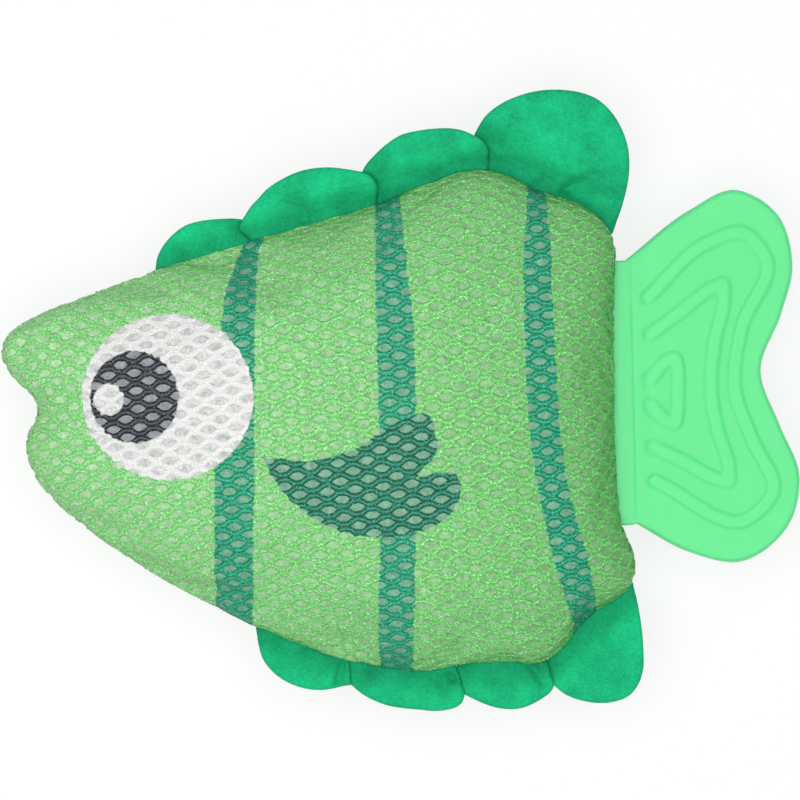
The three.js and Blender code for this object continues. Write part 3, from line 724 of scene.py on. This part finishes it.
class PillowForm:
    """Stuffed form of one side over share (0 in the middle, 1 at the seam) and turn about the middle.

    Reach grows with the share, from a rounded outline in the middle to the seam's own outline, and
    height falls from the crown as the root of 1 - share ** fullness."""

    def __init__(self, loop, gap):
        turn, reach = polar(loop)
        order = np.argsort(turn)
        seam_step = np.linalg.norm(np.roll(loop, -1, axis=0) - loop, axis=1).mean()
        width = int(SOFT_LENGTH / seam_step)
        soft = np.mean([np.roll(reach, k) for k in range(-width, width + 1)], axis=0)
        self.turn = turn[order]
        self.reach = reach[order]
        self.soft = soft[order]
        self.gap = gap[order]

    def around(self, values, turn):
        """Values round the seam, read off at each turn."""
        return np.interp(turn, self.turn, values, period=2 * np.pi)

    def points(self, share, turn):
        """Points of the front side for arrays of share and turn."""
        soft = self.around(self.soft, turn)
        along = share * (soft + (self.around(self.reach, turn) - soft) * share ** 3)
        gap = self.around(self.gap, turn)
        fall = np.sqrt(np.clip(1.0 - share ** CROWN_FULLNESS, 0.0, None))
        return np.stack([SEAM_CENTRE[0] + along * np.cos(turn), SEAM_CENTRE[1] + along * np.sin(turn),
                         gap + (crown_height - gap) * fall], axis=-1)


def sheet_places():
    """Share and turn for a square sheet laid over the disc, so that no cell is a thin wedge."""
    side = np.linspace(-1.0, 1.0, CLOTH_CELLS + 1)
    a, b = np.meshgrid(side, side, indexing="ij")
    wide = np.abs(a) >= np.abs(b)
    radius = np.where(wide, a, b)
    safe = np.where(radius == 0.0, 1.0, radius)
    turn = np.where(wide, 0.25 * np.pi * b / safe, 0.5 * np.pi - 0.25 * np.pi * a / safe)
    turn = np.where(radius < 0.0, turn + np.pi, turn)
    return np.sin(0.5 * np.pi * np.abs(radius)), np.mod(turn + np.pi, 2 * np.pi) - np.pi


def sheet_reading(sheet, share, turn):
    """Values of a square sheet at share and turn, by cubic interpolation."""
    radius = np.arcsin(np.clip(share, 0.0, 1.0)) / (0.5 * np.pi)
    quarter = np.floor((turn + 0.25 * np.pi) / (0.5 * np.pi))
    lean = radius * (turn - quarter * 0.5 * np.pi) / (0.25 * np.pi)
    quarter = np.mod(quarter, 4).astype(int)
    a = np.choose(quarter, [radius, -lean, -radius, lean])
    b = np.choose(quarter, [lean, radius, -lean, -radius])
    value = 0.0
    rows, row_weights = cubic_weights((a + 1) * 0.5 * CLOTH_CELLS)
    columns, column_weights = cubic_weights((b + 1) * 0.5 * CLOTH_CELLS)
    for i in range(4):
        for j in range(4):
            value = value + sheet[rows[i], columns[j]] * (row_weights[i] * column_weights[j])[..., None]
    return value


def cubic_weights(place):
    """The four neighbours of each place on the sheet and their Catmull-Rom weights."""
    first = np.clip(np.floor(place).astype(int), 0, CLOTH_CELLS - 1)
    t = place - first
    weights = [0.5 * (-t + 2 * t ** 2 - t ** 3), 0.5 * (2 - 5 * t ** 2 + 3 * t ** 3),
               0.5 * (t + 4 * t ** 2 - 3 * t ** 3), 0.5 * (t ** 3 - t ** 2)]
    return [np.clip(first + k, 0, CLOTH_CELLS) for k in (-1, 0, 1, 2)], weights


def stuffing_moves(form):
    """Cloth run: two sheets held along the seam, a little larger than the form, swell under
    pressure. Returns how far each sheet's points moved."""
    start = form.points(*sheet_places())
    count = CLOTH_CELLS + 1
    sheet = start.reshape(-1, 3)
    points = np.vstack([sheet, sheet * [1, 1, -1]])
    faces = grid_faces(count, count, wrap=False)
    face_sets = [faces, faces[:, ::-1] + len(sheet)]
    pillow = new_piece("pillow_for_stuffing", points, face_sets, BACKING, "filling")
    index = np.arange(count * count).reshape(count, count)
    rim = np.unique(np.concatenate([index[0], index[-1], index[:, 0], index[:, -1]]))
    held = pillow.vertex_groups.new(name="seam")
    held.add(np.concatenate([rim, rim + len(sheet)]).tolist(), 1.0, "REPLACE")
    cloth = pillow.modifiers.new("stuffing", "CLOTH")
    settings = cloth.settings
    settings.quality = 8
    settings.mass = 0.05
    settings.tension_stiffness = settings.compression_stiffness = 30.0
    settings.shear_stiffness = 15.0
    settings.bending_stiffness = 2.0
    settings.use_pressure = True
    settings.uniform_pressure_force = 12.0
    settings.vertex_group_mass = "seam"
    settings.shrink_min = -0.012
    settings.effector_weights.gravity = 0.0
    cloth.collision_settings.use_collision = False
    scene = bpy.context.scene
    for number in range(1, CLOTH_FRAMES + 1):
        scene.frame_set(number)
    result = pillow.evaluated_get(bpy.context.evaluated_depsgraph_get())
    moved = np.empty(3 * len(points))
    result.data.vertices.foreach_get("co", moved)
    scene.frame_set(1)
    bpy.data.objects.remove(pillow)
    move = moved.reshape(-1, 3) - points
    length = np.linalg.norm(move, axis=1, keepdims=True)
    move *= np.minimum(1.0, CLOTH_MOST_MOVE / np.maximum(length, 1e-9))
    return move.reshape(2, count, count, 3)


def turned_in(grid, gap, side):
    """The side's rings, then the fabric's turn into the seam: a small round and a flat."""
    rim = grid[-1, :, :2]
    out = outward(rim)
    extra = []
    for part in np.linspace(0.0, 1.0, TURN_STEPS + 1)[1:]:
        inset = TURN_RADIUS * (1.0 - math.cos(0.5 * math.pi * part))
        extra.append(np.column_stack([rim - out * inset, side * gap * (1.0 - TURN_CLOSING * part)]))
    extra.append(np.column_stack([rim - out * TURN_IN, side * gap * (1.0 - TURN_CLOSING)]))
    return np.concatenate([grid, np.array(extra)])


class FabricSide:
    """One side of the body as a table of points over angle and distance along the fabric."""

    def __init__(self, grid):
        step = np.linalg.norm(np.diff(grid, axis=0), axis=2)
        run = np.concatenate([np.zeros((1, grid.shape[1])), np.cumsum(step, axis=0)])
        self.length = run[-1]
        even = np.linspace(0.0, 1.0, FABRIC_SAMPLES)
        self.table = np.empty((FABRIC_SAMPLES, grid.shape[1], 3))
        for j in range(grid.shape[1]):
            for axis in range(3):
                self.table[:, j, axis] = np.interp(even * run[-1, j], run[:, j], grid[:, j, axis])
        self.turns = np.unwrap(polar(grid[-1, :, :2])[0])
        outwards = np.gradient(self.table, axis=0)
        around = np.roll(self.table, -1, axis=1) - np.roll(self.table, 1, axis=1)
        normal = np.cross(outwards, around)
        normal /= np.maximum(np.linalg.norm(normal, axis=2, keepdims=True), 1e-12)
        normal[0] = normal[2].mean(axis=0) / np.linalg.norm(normal[2].mean(axis=0))
        normal[1] = normal[2]
        self.normal = normal if normal[0, 0, 2] * grid[0, 0, 2] > 0 else -normal

    def column(self, turn):
        """Fractional column at each angle."""
        first = self.turns[0]
        turn = first + np.mod(turn - first, 2 * np.pi)
        return np.interp(turn, np.append(self.turns, first + 2 * np.pi), np.arange(len(self.turns) + 1))

    def reach(self, turn):
        """Fabric length from the middle to its end at each angle."""
        return np.interp(self.column(turn), np.arange(len(self.length) + 1),
                         np.append(self.length, self.length[0]))

    def at(self, flat):
        """Point, normal and share of the way to the fabric's end for places on the flat fabric: angle
        and distance carry over."""
        turn = np.arctan2(flat[:, 1], flat[:, 0])
        column = self.column(turn)
        share = np.clip(np.linalg.norm(flat, axis=1) / self.reach(turn), 0.0, 1.0)
        row = share * (FABRIC_SAMPLES - 1)
        i = np.clip(row.astype(int), 0, FABRIC_SAMPLES - 2)
        j = column.astype(int) % len(self.length)
        next_j = (j + 1) % len(self.length)
        u = (row - i)[:, None]
        v = (column - column.astype(int))[:, None]

        def read(table):
            """The table between its four nearest values."""
            near = table[i, j] * (1 - v) + table[i, next_j] * v
            far = table[i + 1, j] * (1 - v) + table[i + 1, next_j] * v
            return near * (1 - u) + far * u

        normal = read(self.normal)
        return read(self.table), normal / np.linalg.norm(normal, axis=1, keepdims=True), share


def knit_strands(name, fabric, material):
    """Printed outer face of the air mesh: wavy strands y = row + swing * wave(x), mirrored from row
    to row, each with two plies. The hole between two rows is where their waves part."""
    row_pitch = HOLE_PITCH_ACROSS / 2
    swing = HOLE_HALF_HEIGHT + STRAND_HALF - row_pitch / 2
    far = fabric.length.max() + HOLE_PITCH_ALONG
    x = np.arange(-far, far, HOLE_PITCH_ALONG / STRAND_STEPS)
    rows = np.arange(-int(far / row_pitch), int(far / row_pitch) + 1)
    angle = 2 * np.pi * x / HOLE_PITCH_ALONG
    wave = np.tanh(STRAND_FLATNESS * np.cos(angle)) / math.tanh(STRAND_FLATNESS)
    slope = np.gradient(swing * wave, x)
    flip = np.where(rows % 2 == 0, 1.0, -1.0)
    middle = (rows[:, None] + 0.5) * row_pitch + swing * flip[:, None] * wave[None]
    middle = middle + random.normal(0.0, STRAND_WANDER, middle.shape)
    half = STRAND_HALF * np.sqrt(1 + slope ** 2)[None] * random.uniform(*STRAND_WIDTHS, middle.shape)
    across = STRAND_SECTION[:, 0]
    y = middle[..., None] + half[..., None] * across
    flat = np.stack([np.broadcast_to(x[None, :, None], y.shape), y], axis=-1)
    cosine, sine = math.cos(KNIT_TILT), math.sin(KNIT_TILT)
    turned = flat.reshape(-1, 2) @ np.array([[cosine, sine], [-sine, cosine]])
    point, normal, share = fabric.at(turned)
    height = STRAND_SECTION[:, 1] * MM + random.normal(0.0, STRAND_UNEVEN, middle.shape)[..., None]
    point = point + normal * height.reshape(-1, 1)
    point[:, 2] = np.maximum(point[:, 2] + seam_height, 0.0)
    inside = (share < 1.0).reshape(y.shape).all(axis=2)
    index = np.arange(point.shape[0]).reshape(y.shape)
    runs = inside[:, :-1] & inside[:, 1:]
    here, ahead = index[:, :-1][runs], index[:, 1:][runs]
    side = np.stack([here, ahead, np.roll(ahead, -1, axis=1), np.roll(here, -1, axis=1)], axis=2)
    padded = np.pad(inside, ((0, 0), (1, 1)))
    firsts = index[inside & ~padded[:, :-2]]
    lasts = index[inside & ~padded[:, 2:]]
    upright = fabric.table[0, 0, 2] > 0
    sets = [side.reshape(-1, 4), firsts, lasts[:, ::-1]]
    sets = [np.asarray(faces)[:, ::-1] if upright else np.asarray(faces) for faces in sets]
    used = np.unique(np.concatenate([faces.ravel() for faces in sets]))
    slots = np.zeros(point.shape[0], int)
    slots[used] = np.arange(len(used))
    piece = new_piece(name, point[used], [slots[faces] for faces in sets], material, "printed_mesh")
    strand = np.stack([flat[..., 0], half[..., None] * across + rows[:, None, None] * STRAND_SHIFT,
                       np.broadcast_to(STRAND_SECTION[:, 2], y.shape)], axis=-1).reshape(-1, 3)[used]
    add_layer(piece, "strand", "FLOAT_VECTOR", "POINT", strand.astype(np.float32))
    edges = np.empty(2 * len(piece.data.edges), int)
    piece.data.edges.foreach_get("vertices", edges)
    place = (used % len(across))[edges.reshape(-1, 2)]
    under = (place[:, 0] == place[:, 1]) & np.isin(place[:, 0], (0, len(across) - 1))
    add_layer(piece, "sharp_edge", "BOOLEAN", "EDGE", under)
    return piece


def backing_layer(name, fabric, material):
    """Inner face of the air mesh: the fabric's table moved in along its normals."""
    points = fabric.table - fabric.normal * BACKING_DEPTH
    rings, columns, _ = points.shape
    points[:, :, 2] += seam_height
    vertices = np.vstack([points[0, :1], points[2:].reshape(-1, 3)])
    flip = fabric.table[0, 0, 2] < 0
    faces = grid_faces(rings - 2, columns, start=1)
    face_sets = [faces[:, ::-1] if flip else faces, fan_faces(0, 1 + np.arange(columns), flip)]
    return new_piece(name, vertices, face_sets, material, "printed_mesh")


def filling_wad(name, fabric, material):
    """Half of the fibre filling: the fabric's form drawn in, with soft lumps, and flat towards the
    seam."""
    rows = np.arange(WAD_FIRST_RING, int(FABRIC_SAMPLES * WAD_REACH), WAD_STEPS[0])
    normal = fabric.normal[rows][:, ::WAD_STEPS[1]]
    points = fabric.table[rows][:, ::WAD_STEPS[1]] - normal * WAD_INSET
    lumps = random.normal(0.0, WAD_LUMPS, points.shape[:2])
    points = points - normal * np.abs(lumps)[..., None]
    side = np.sign(fabric.table[0, 0, 2])
    foot = points[-1].copy()
    foot[:, :2] = SEAM_CENTRE + (foot[:, :2] - SEAM_CENTRE) * WAD_FOOT
    foot[:, 2] = side * WAD_FLAT
    top = fabric.table[0, :1] - np.array([0, 0, side * WAD_INSET])
    base = np.array([[*SEAM_CENTRE, side * WAD_FLAT]])
    vertices = np.vstack([top, points.reshape(-1, 3), foot, base])
    vertices[:, 2] += seam_height
    count = points.shape[1]
    faces = grid_faces(len(rows) + 1, count, start=1)
    last = len(vertices) - 1
    face_sets = [faces if side > 0 else faces[:, ::-1], fan_faces(0, 1 + np.arange(count), side < 0),
                 fan_faces(last, last - count + np.arange(count), side > 0)]
    return new_piece(name, vertices, face_sets, material, "filling")


def sachet(material):
    """Flat pouch: a crowned grid with its four welded edges drawn thin and slightly crimped."""
    low, high = (np.array(corner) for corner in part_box("catnip_sachet"))
    middle, half = (low + high) / 2, (high - low) / 2
    u, v = np.meshgrid(*(np.linspace(-1, 1, count) for count in POUCH_GRID), indexing="ij")
    swell = np.sqrt((1 - np.abs(u) ** POUCH_FULLNESS) * (1 - np.abs(v) ** POUCH_FULLNESS))
    crimp = POUCH_CRIMP * (np.sin(POUCH_CRIMPS[0] * u) * np.abs(v) ** POUCH_CRIMP_EDGE
                           + np.sin(POUCH_CRIMPS[1] * v) * np.abs(u) ** POUCH_CRIMP_EDGE)
    sheets = []
    for side in (1.0, -1.0):
        thick = side * (POUCH_WELD + (half[2] - 2 * POUCH_WELD) * swell) + crimp
        sheets.append(np.stack([middle[0] + half[0] * u, middle[1] + half[1] * v, middle[2] + thick], axis=2))
    return new_piece("catnip_pouch", *closed_sheet(*sheets), material, "sachet")


# Fins

def hinge_frame(body):
    """Hinge line of a body: its start, its direction and the way out of the toy."""
    start = np.array(joints[body]["pos_m"])
    along = np.array(joints[body]["axis"])
    return start, along, np.cross([0.0, 0.0, 1.0], along)


def petal_outline(fin, number):
    """Outline of a petal: out along the line to one neighbour, along its rim and back along the line
    to the other neighbour, with corners where petals meet."""
    first, last = FIN_SIDES[fin][number], FIN_SIDES[fin][number + 1]
    outline = [np.array(first[:1]) * MM]
    for run in (first, first[-1:] + PETAL_RIMS[fin][number] + last[-1:], last[::-1]):
        if len(run) > 1:
            run = np.array(run) * MM
            length = np.linalg.norm(np.diff(run, axis=0), axis=1).sum()
            outline.append(spline(run, max(4, int(length / PETAL_STEP)))[1:])
    return np.concatenate(outline)


def petal(fin, number, loop, material):
    """Felt petal: rows from its root in the seam through its waist to its rim. Its half thickness
    rounds off at the cut edge and swells by the distance from it, and its middle rises by lift, rises
    or sinks at its ends and sinks along its creases."""
    node = f"{fin}_petal_{number + 1}"
    body = node + "_flap"
    lift, swell, first_end, last_end, creases = PETAL_FORMS[fin][number]
    start, along, outwards = hinge_frame(body)
    on_hinge = np.stack([along[:2], outwards[:2]], axis=1)
    rim = (petal_outline(fin, number) - start[:2]) @ on_hinge
    rim = rim if rim[0, 0] < rim[-1, 0] else rim[::-1]
    run = np.gradient(rim, axis=0)
    grow = PETAL_GROW * smoothstep(*PETAL_GROW_OUT, rim[:, 1]) / np.linalg.norm(run, axis=1)
    rim = rim + grow[:, None] * np.stack([-run[:, 1], run[:, 0]], axis=1)
    left, right, rim = rim[0], rim[-1], rim[1:-1]
    seam = (loop - start[:2]) @ on_hinge
    nearest = seam[np.argmin(np.linalg.norm(seam, axis=1))]
    root_depth = PETAL_ROOT_DEPTH + max(0.0, -nearest[1])
    u = np.linspace(0.0, 1.0, len(rim))[:, None]
    waist = left + (right - left) * u
    taper = PETAL_ROOT_TAPER * root_depth
    root = np.array([left[0] + taper, -root_depth]) + np.array([right[0] - left[0] - 2 * taper, 0.0]) * u
    below = np.linspace(0.0, 1.0, PETAL_ROOT_ROWS)[:-1, None, None]
    above_waist = 1.0 - (1.0 - np.linspace(0.0, 1.0, PETAL_ROWS)[:, None, None]) ** PETAL_ROW_EASE
    place = np.concatenate([root + (waist - root) * below, waist + (rim - waist) * above_waist])
    edge = filled_in(np.vstack([root[:1], left, rim, right, root[-1:]]))
    to_edge = distance_to(place.reshape(-1, 2), edge).reshape(place.shape[:2])
    out = place[..., 1]
    rising = smoothstep(0.0, PETAL_RISING, out)
    half = PETAL_EDGE_LEAST + (FELT_HALF - PETAL_EDGE_LEAST) * rounded(to_edge, PETAL_EDGE)
    half += swell * MM * smoothstep(0.0, PETAL_RISING, to_edge) * rising
    rise = lift * MM * rising
    world = start + place[..., :1] * along + place[..., 1:] * outwards
    free = smoothstep(*SEAM_HOLD, out)
    pleated = smoothstep(*PLEAT_HOLD, out)
    # painted shade: darkest at the seam and fading out from it, then added where an end sinks under its
    # neighbour and along creases
    painted_shade = 1.0 - smoothstep(*PAINTED_SHADE_REACH, out)

    def close_to(line, width, hold):
        """1 on a line, falling off as a bell over the width, and 0 where the seam holds."""
        gap = distance_to(world[..., :2].reshape(-1, 2), filled_in(np.array(line + line[-1:]) * MM))
        return hold * np.exp(-(gap / (width * MM)) ** 2).reshape(hold.shape)

    for line, height in zip(FIN_SIDES[fin][number:number + 2], (first_end, last_end)):
        end = close_to(line, PETAL_END, free)
        rise += height * MM * end
        painted_shade = np.maximum(painted_shade, end * np.clip(-height / FULL_SHADE_DEPTH, 0.0, 1.0))
    fold = np.zeros_like(rise)
    for line, width, depth in creases:
        dip = close_to(line, width, pleated)
        fold += depth * MM * dip
        painted_shade = np.maximum(painted_shade, dip * min(1.0, depth / FULL_SHADE_DEPTH))
    upper, lower = world.copy(), world.copy()
    upper[..., 2] += rise + half - fold
    lower[..., 2] += rise - half - CREASE_UNDER * fold
    sheets = [sheet.swapaxes(0, 1) for sheet in (upper, lower)]
    piece = new_piece(node + "_felt", *closed_sheet(*sheets), material, "felt")
    # the painted shade goes to the felt material as a point attribute
    add_layer(piece, "painted_shade", "FLOAT", "POINT", np.tile(painted_shade.T.ravel(), 2).astype(np.float32))
    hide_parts(node)
    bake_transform(piece)
    return piece


def root_band(node, material):
    """Felt band in the seam that the petals' roots are sewn to: a squarish oval section along the
    packed strip's inner edge."""
    flat = cad_vertices(node)[:, :2]
    turn, reach = polar(flat)
    bins = np.linspace(turn.min(), turn.max(), BAND_BINS + 1)
    which = np.clip(np.digitize(turn, bins) - 1, 0, BAND_BINS - 1)
    inner = np.array([flat[np.flatnonzero(which == k)[np.argmin(reach[which == k])]]
                      for k in range(BAND_BINS) if (which == k).any()])
    path = spline(inner, BAND_STEPS)
    angle = np.linspace(0.0, 2 * np.pi, BAND_SIDES, endpoint=False)
    across, height = (size * np.sign(wave) * np.abs(wave) ** BAND_SQUARENESS
                      for size, wave in zip(BAND_HALF, (np.cos(angle), np.sin(angle))))
    points = np.empty((BAND_STEPS, BAND_SIDES, 3))
    points[..., :2] = path[:, None, :] + outward(path)[:, None, :] * (across + BAND_HALF[0])[None, :, None]
    points[..., 2] = seam_height + height
    index = np.arange(BAND_STEPS * BAND_SIDES).reshape(BAND_STEPS, BAND_SIDES)
    faces = [grid_faces(BAND_STEPS, BAND_SIDES), index[:1], index[-1:, ::-1]]
    piece = new_piece(node.replace("strip", "band"), points.reshape(-1, 3), faces, material, "felt")
    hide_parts(node)
    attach(piece, "body")
    return piece


def tail_surface(material):
    """Rubber tail in one piece with its sewing strip: rings about a middle point, whose half
    thickness steps and slopes up from strip to blade, rounds off at the outline and rises on the ribs."""
    start, along, outwards = hinge_frame("tail")
    half_strip = TAIL_STRIP_LENGTH / 2 + TAIL_STRIP_EXTRA
    left = np.stack([np.full(TAIL_SIDE_STEPS, -half_strip),
                     np.linspace(-TAIL_TUCK, TAIL_STRIP_OUT, TAIL_SIDE_STEPS)], axis=1)
    root = np.stack([np.linspace(half_strip, -half_strip, TAIL_ROOT_STEPS + 2)[1:-1],
                     np.full(TAIL_ROOT_STEPS, -TAIL_TUCK)], axis=1)
    outline = np.vstack([left, spline(TAIL_OUTLINE, TAIL_BLADE_STEPS), left[::-1] * [-1, 1], root])
    middle = np.array([0.0, TAIL_POLE])
    share = np.sin(0.5 * np.pi * np.linspace(0.0, 1.0, TAIL_RINGS + 1)[1:]) ** TAIL_RING_EASE
    place = middle + (outline - middle)[None] * share[:, None, None]
    flat = place.reshape(-1, 2)
    edge_gap = distance_to(flat, filled_in(np.vstack([outline, outline[:1]])))
    rib_gap = np.full(len(flat), np.inf)
    for rib in TAIL_RIBS:
        line = spline(rib, int(np.ptp(rib, axis=0).sum() / RIB_STEP))
        rib_gap = np.minimum(rib_gap, distance_to(flat, line))
    out = flat[:, 1]
    step = smoothstep(TAIL_STEP - TAIL_STEP_HALF, TAIL_STEP + TAIL_STEP_HALF, out)
    ramp = smoothstep(TAIL_STEP, TAIL_STEP + TAIL_RAMP, out)
    thick = TAIL_STEP_SHARE * step + (1 - TAIL_STEP_SHARE) * ramp
    half = TAIL_STRIP_HALF + (TAIL_BLADE_HALF - TAIL_STRIP_HALF) * thick
    half = half * rounded(edge_gap, TAIL_ROUNDING * (1 + thick))
    half = half + RIB_HEIGHT * (1 - smoothstep(RIB_TOP_HALF, RIB_FOOT_HALF, rib_gap))
    half = half.reshape(place.shape[:2])
    half[-1] = 0.0
    strip_middle = start + along * TAIL_STRIP_LENGTH / 2
    world = strip_middle + place[..., :1] * along + place[..., 1:] * outwards
    lift = np.array([0.0, 0.0, 1.0])
    upper = world + half[..., None] * lift
    lower = (world - half[..., None] * lift)[:-1]
    columns = len(outline)
    pole = strip_middle + TAIL_POLE * outwards
    points = np.vstack([[pole + TAIL_BLADE_HALF * lift], upper.reshape(-1, 3), lower.reshape(-1, 3),
                        [pole - TAIL_BLADE_HALF * lift]])
    on_top = TAIL_RINGS * columns
    top = grid_faces(TAIL_RINGS, columns)
    below = np.where(top < on_top - columns, top + on_top, top)
    first_ring = 1 + np.arange(columns)
    faces = [1 + top[:, ::-1], 1 + below, fan_faces(0, first_ring, flip=True),
             fan_faces(len(points) - 1, on_top + first_ring)]
    piece = new_piece("rubber_tail", points, faces, material, "tail_rubber")
    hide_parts("tail_fin", "tail_sewing_flange")
    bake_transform(piece)
    return piece


# Camera, light and floor

def make_camera():
    """Camera straight above the toy, with the photograph's width at the seam's height."""
    data = bpy.data.cameras.new("camera")
    data.lens = LENS
    data.sensor_width = SENSOR
    data.clip_end = FAR_CLIP
    camera = add_object("camera", data)
    camera.location = (0.0, 0.0, seam_height + VIEW_WIDTH * LENS / SENSOR)
    bpy.context.scene.camera = camera


def make_light():
    """Broad lamp nearly overhead, a little towards nose and belly, and a white surround that dims to
    the horizon."""
    data = bpy.data.lights.new("softbox", "AREA")
    data.shape = "DISK"
    data.size = LAMP_SIZE
    data.energy = LAMP_POWER
    lamp = add_object("softbox", data)
    lamp.location = LAMP_PLACE
    lamp.rotation_euler = (-Vector(LAMP_PLACE)).to_track_quat("-Z", "Y").to_euler()
    world = bpy.data.worlds.new("surround")
    world.use_nodes = True
    tree = world.node_tree
    way = add_node(tree, "ShaderNodeTexCoord").outputs["Generated"]
    up = add_node(tree, "ShaderNodeSeparateXYZ", {"Vector": way}).outputs["Z"]
    background = tree.nodes["Background"]
    background.inputs["Color"].default_value = (1.0, 1.0, 1.0, 1.0)
    tree.links.new(remap(tree, up, target=SURROUND), background.inputs["Strength"])
    bpy.context.scene.world = world


def make_floor():
    """White floor: lit, so that it keeps the shadow, and lifted to white for the camera."""
    material, tree, shader = surface("white_floor", Base_Color=(0.95, 0.95, 0.95, 1.0), Roughness=1.0)
    glow = add_node(tree, "ShaderNodeEmission", {"Color": (1.0, 1.0, 1.0, 1.0), "Strength": 1.0})
    path = add_node(tree, "ShaderNodeLightPath")
    seen = maths(tree, "ADD", path.outputs["Is Camera Ray"], path.outputs["Is Glossy Ray"], clamp=True)
    share = maths(tree, "MULTIPLY", seen, FLOOR_GLOW)
    mix = add_node(tree, "ShaderNodeMixShader", {0: share, 1: shader.outputs[0], 2: glow.outputs[0]})
    tree.links.new(mix.outputs[0], tree.nodes["Material Output"].inputs["Surface"])
    mesh = bpy.data.meshes.new("floor")
    corners = [(x * FLOOR_HALF, y * FLOOR_HALF, 0.0) for x, y in ((-1, -1), (1, -1), (1, 1), (-1, 1))]
    mesh.from_pydata(corners, [], [(0, 1, 2, 3)])
    mesh.materials.append(material)
    floor = add_object("floor", mesh)


# Assembly
make_camera()
make_light()
make_floor()
bpy.context.scene.view_settings.view_transform = "Standard"

FELT = felt_material()
YARN = printed_yarn_material()
BACKING = backing_material()
RUBBER = rubber_material()

loop = seam_loop()
gap = seam_half_gap(loop)
form = PillowForm(loop, gap)
share = np.sin(0.5 * np.pi * np.linspace(0.0, 1.0, CROWN_RINGS))[:, None]
share, turn = np.broadcast_arrays(share, polar(loop)[0][None, :])
moves = stuffing_moves(form)
fabrics = []
for number, side in enumerate((1.0, -1.0)):
    grid = form.points(share, turn) * [1, 1, side]
    if moves is not None:
        grid = grid + sheet_reading(moves[number], share, turn)
    grid[..., 2] *= crown_height / np.abs(grid[..., 2]).max()
    grid[..., 2] = np.maximum(grid[..., 2], LOWEST_FABRIC - seam_height)
    fabrics.append(FabricSide(turned_in(grid, gap, side)))

for word, fabric in zip(("front", "back"), fabrics):
    net = knit_strands(word + "_printed_mesh", fabric, YARN)
    lining = backing_layer(word + "_mesh_backing", fabric, BACKING)
    fibre = plain_fibre_material(word + "_fibre", FIBRE_COLOUR, 1200.0)
    wad = filling_wad(word + "_fibre_wad", fabric, fibre)
    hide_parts(word + "_panel")
    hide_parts(word + "_filling")
    for piece in (net, lining, wad):
        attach(piece, "body")

pouch = sachet(plain_fibre_material("sachet_cloth", POUCH_COLOUR, 1500.0))
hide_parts("catnip_sachet")
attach(pouch, "body")

for fin in FIN_SIDES:
    for number in range(len(PETAL_RIMS[fin])):
        petal(fin, number, loop, FELT)
for node in ("dorsal_root_strip", "ventral_root_strip"):
    root_band(node, FELT)
tail_surface(RUBBER)
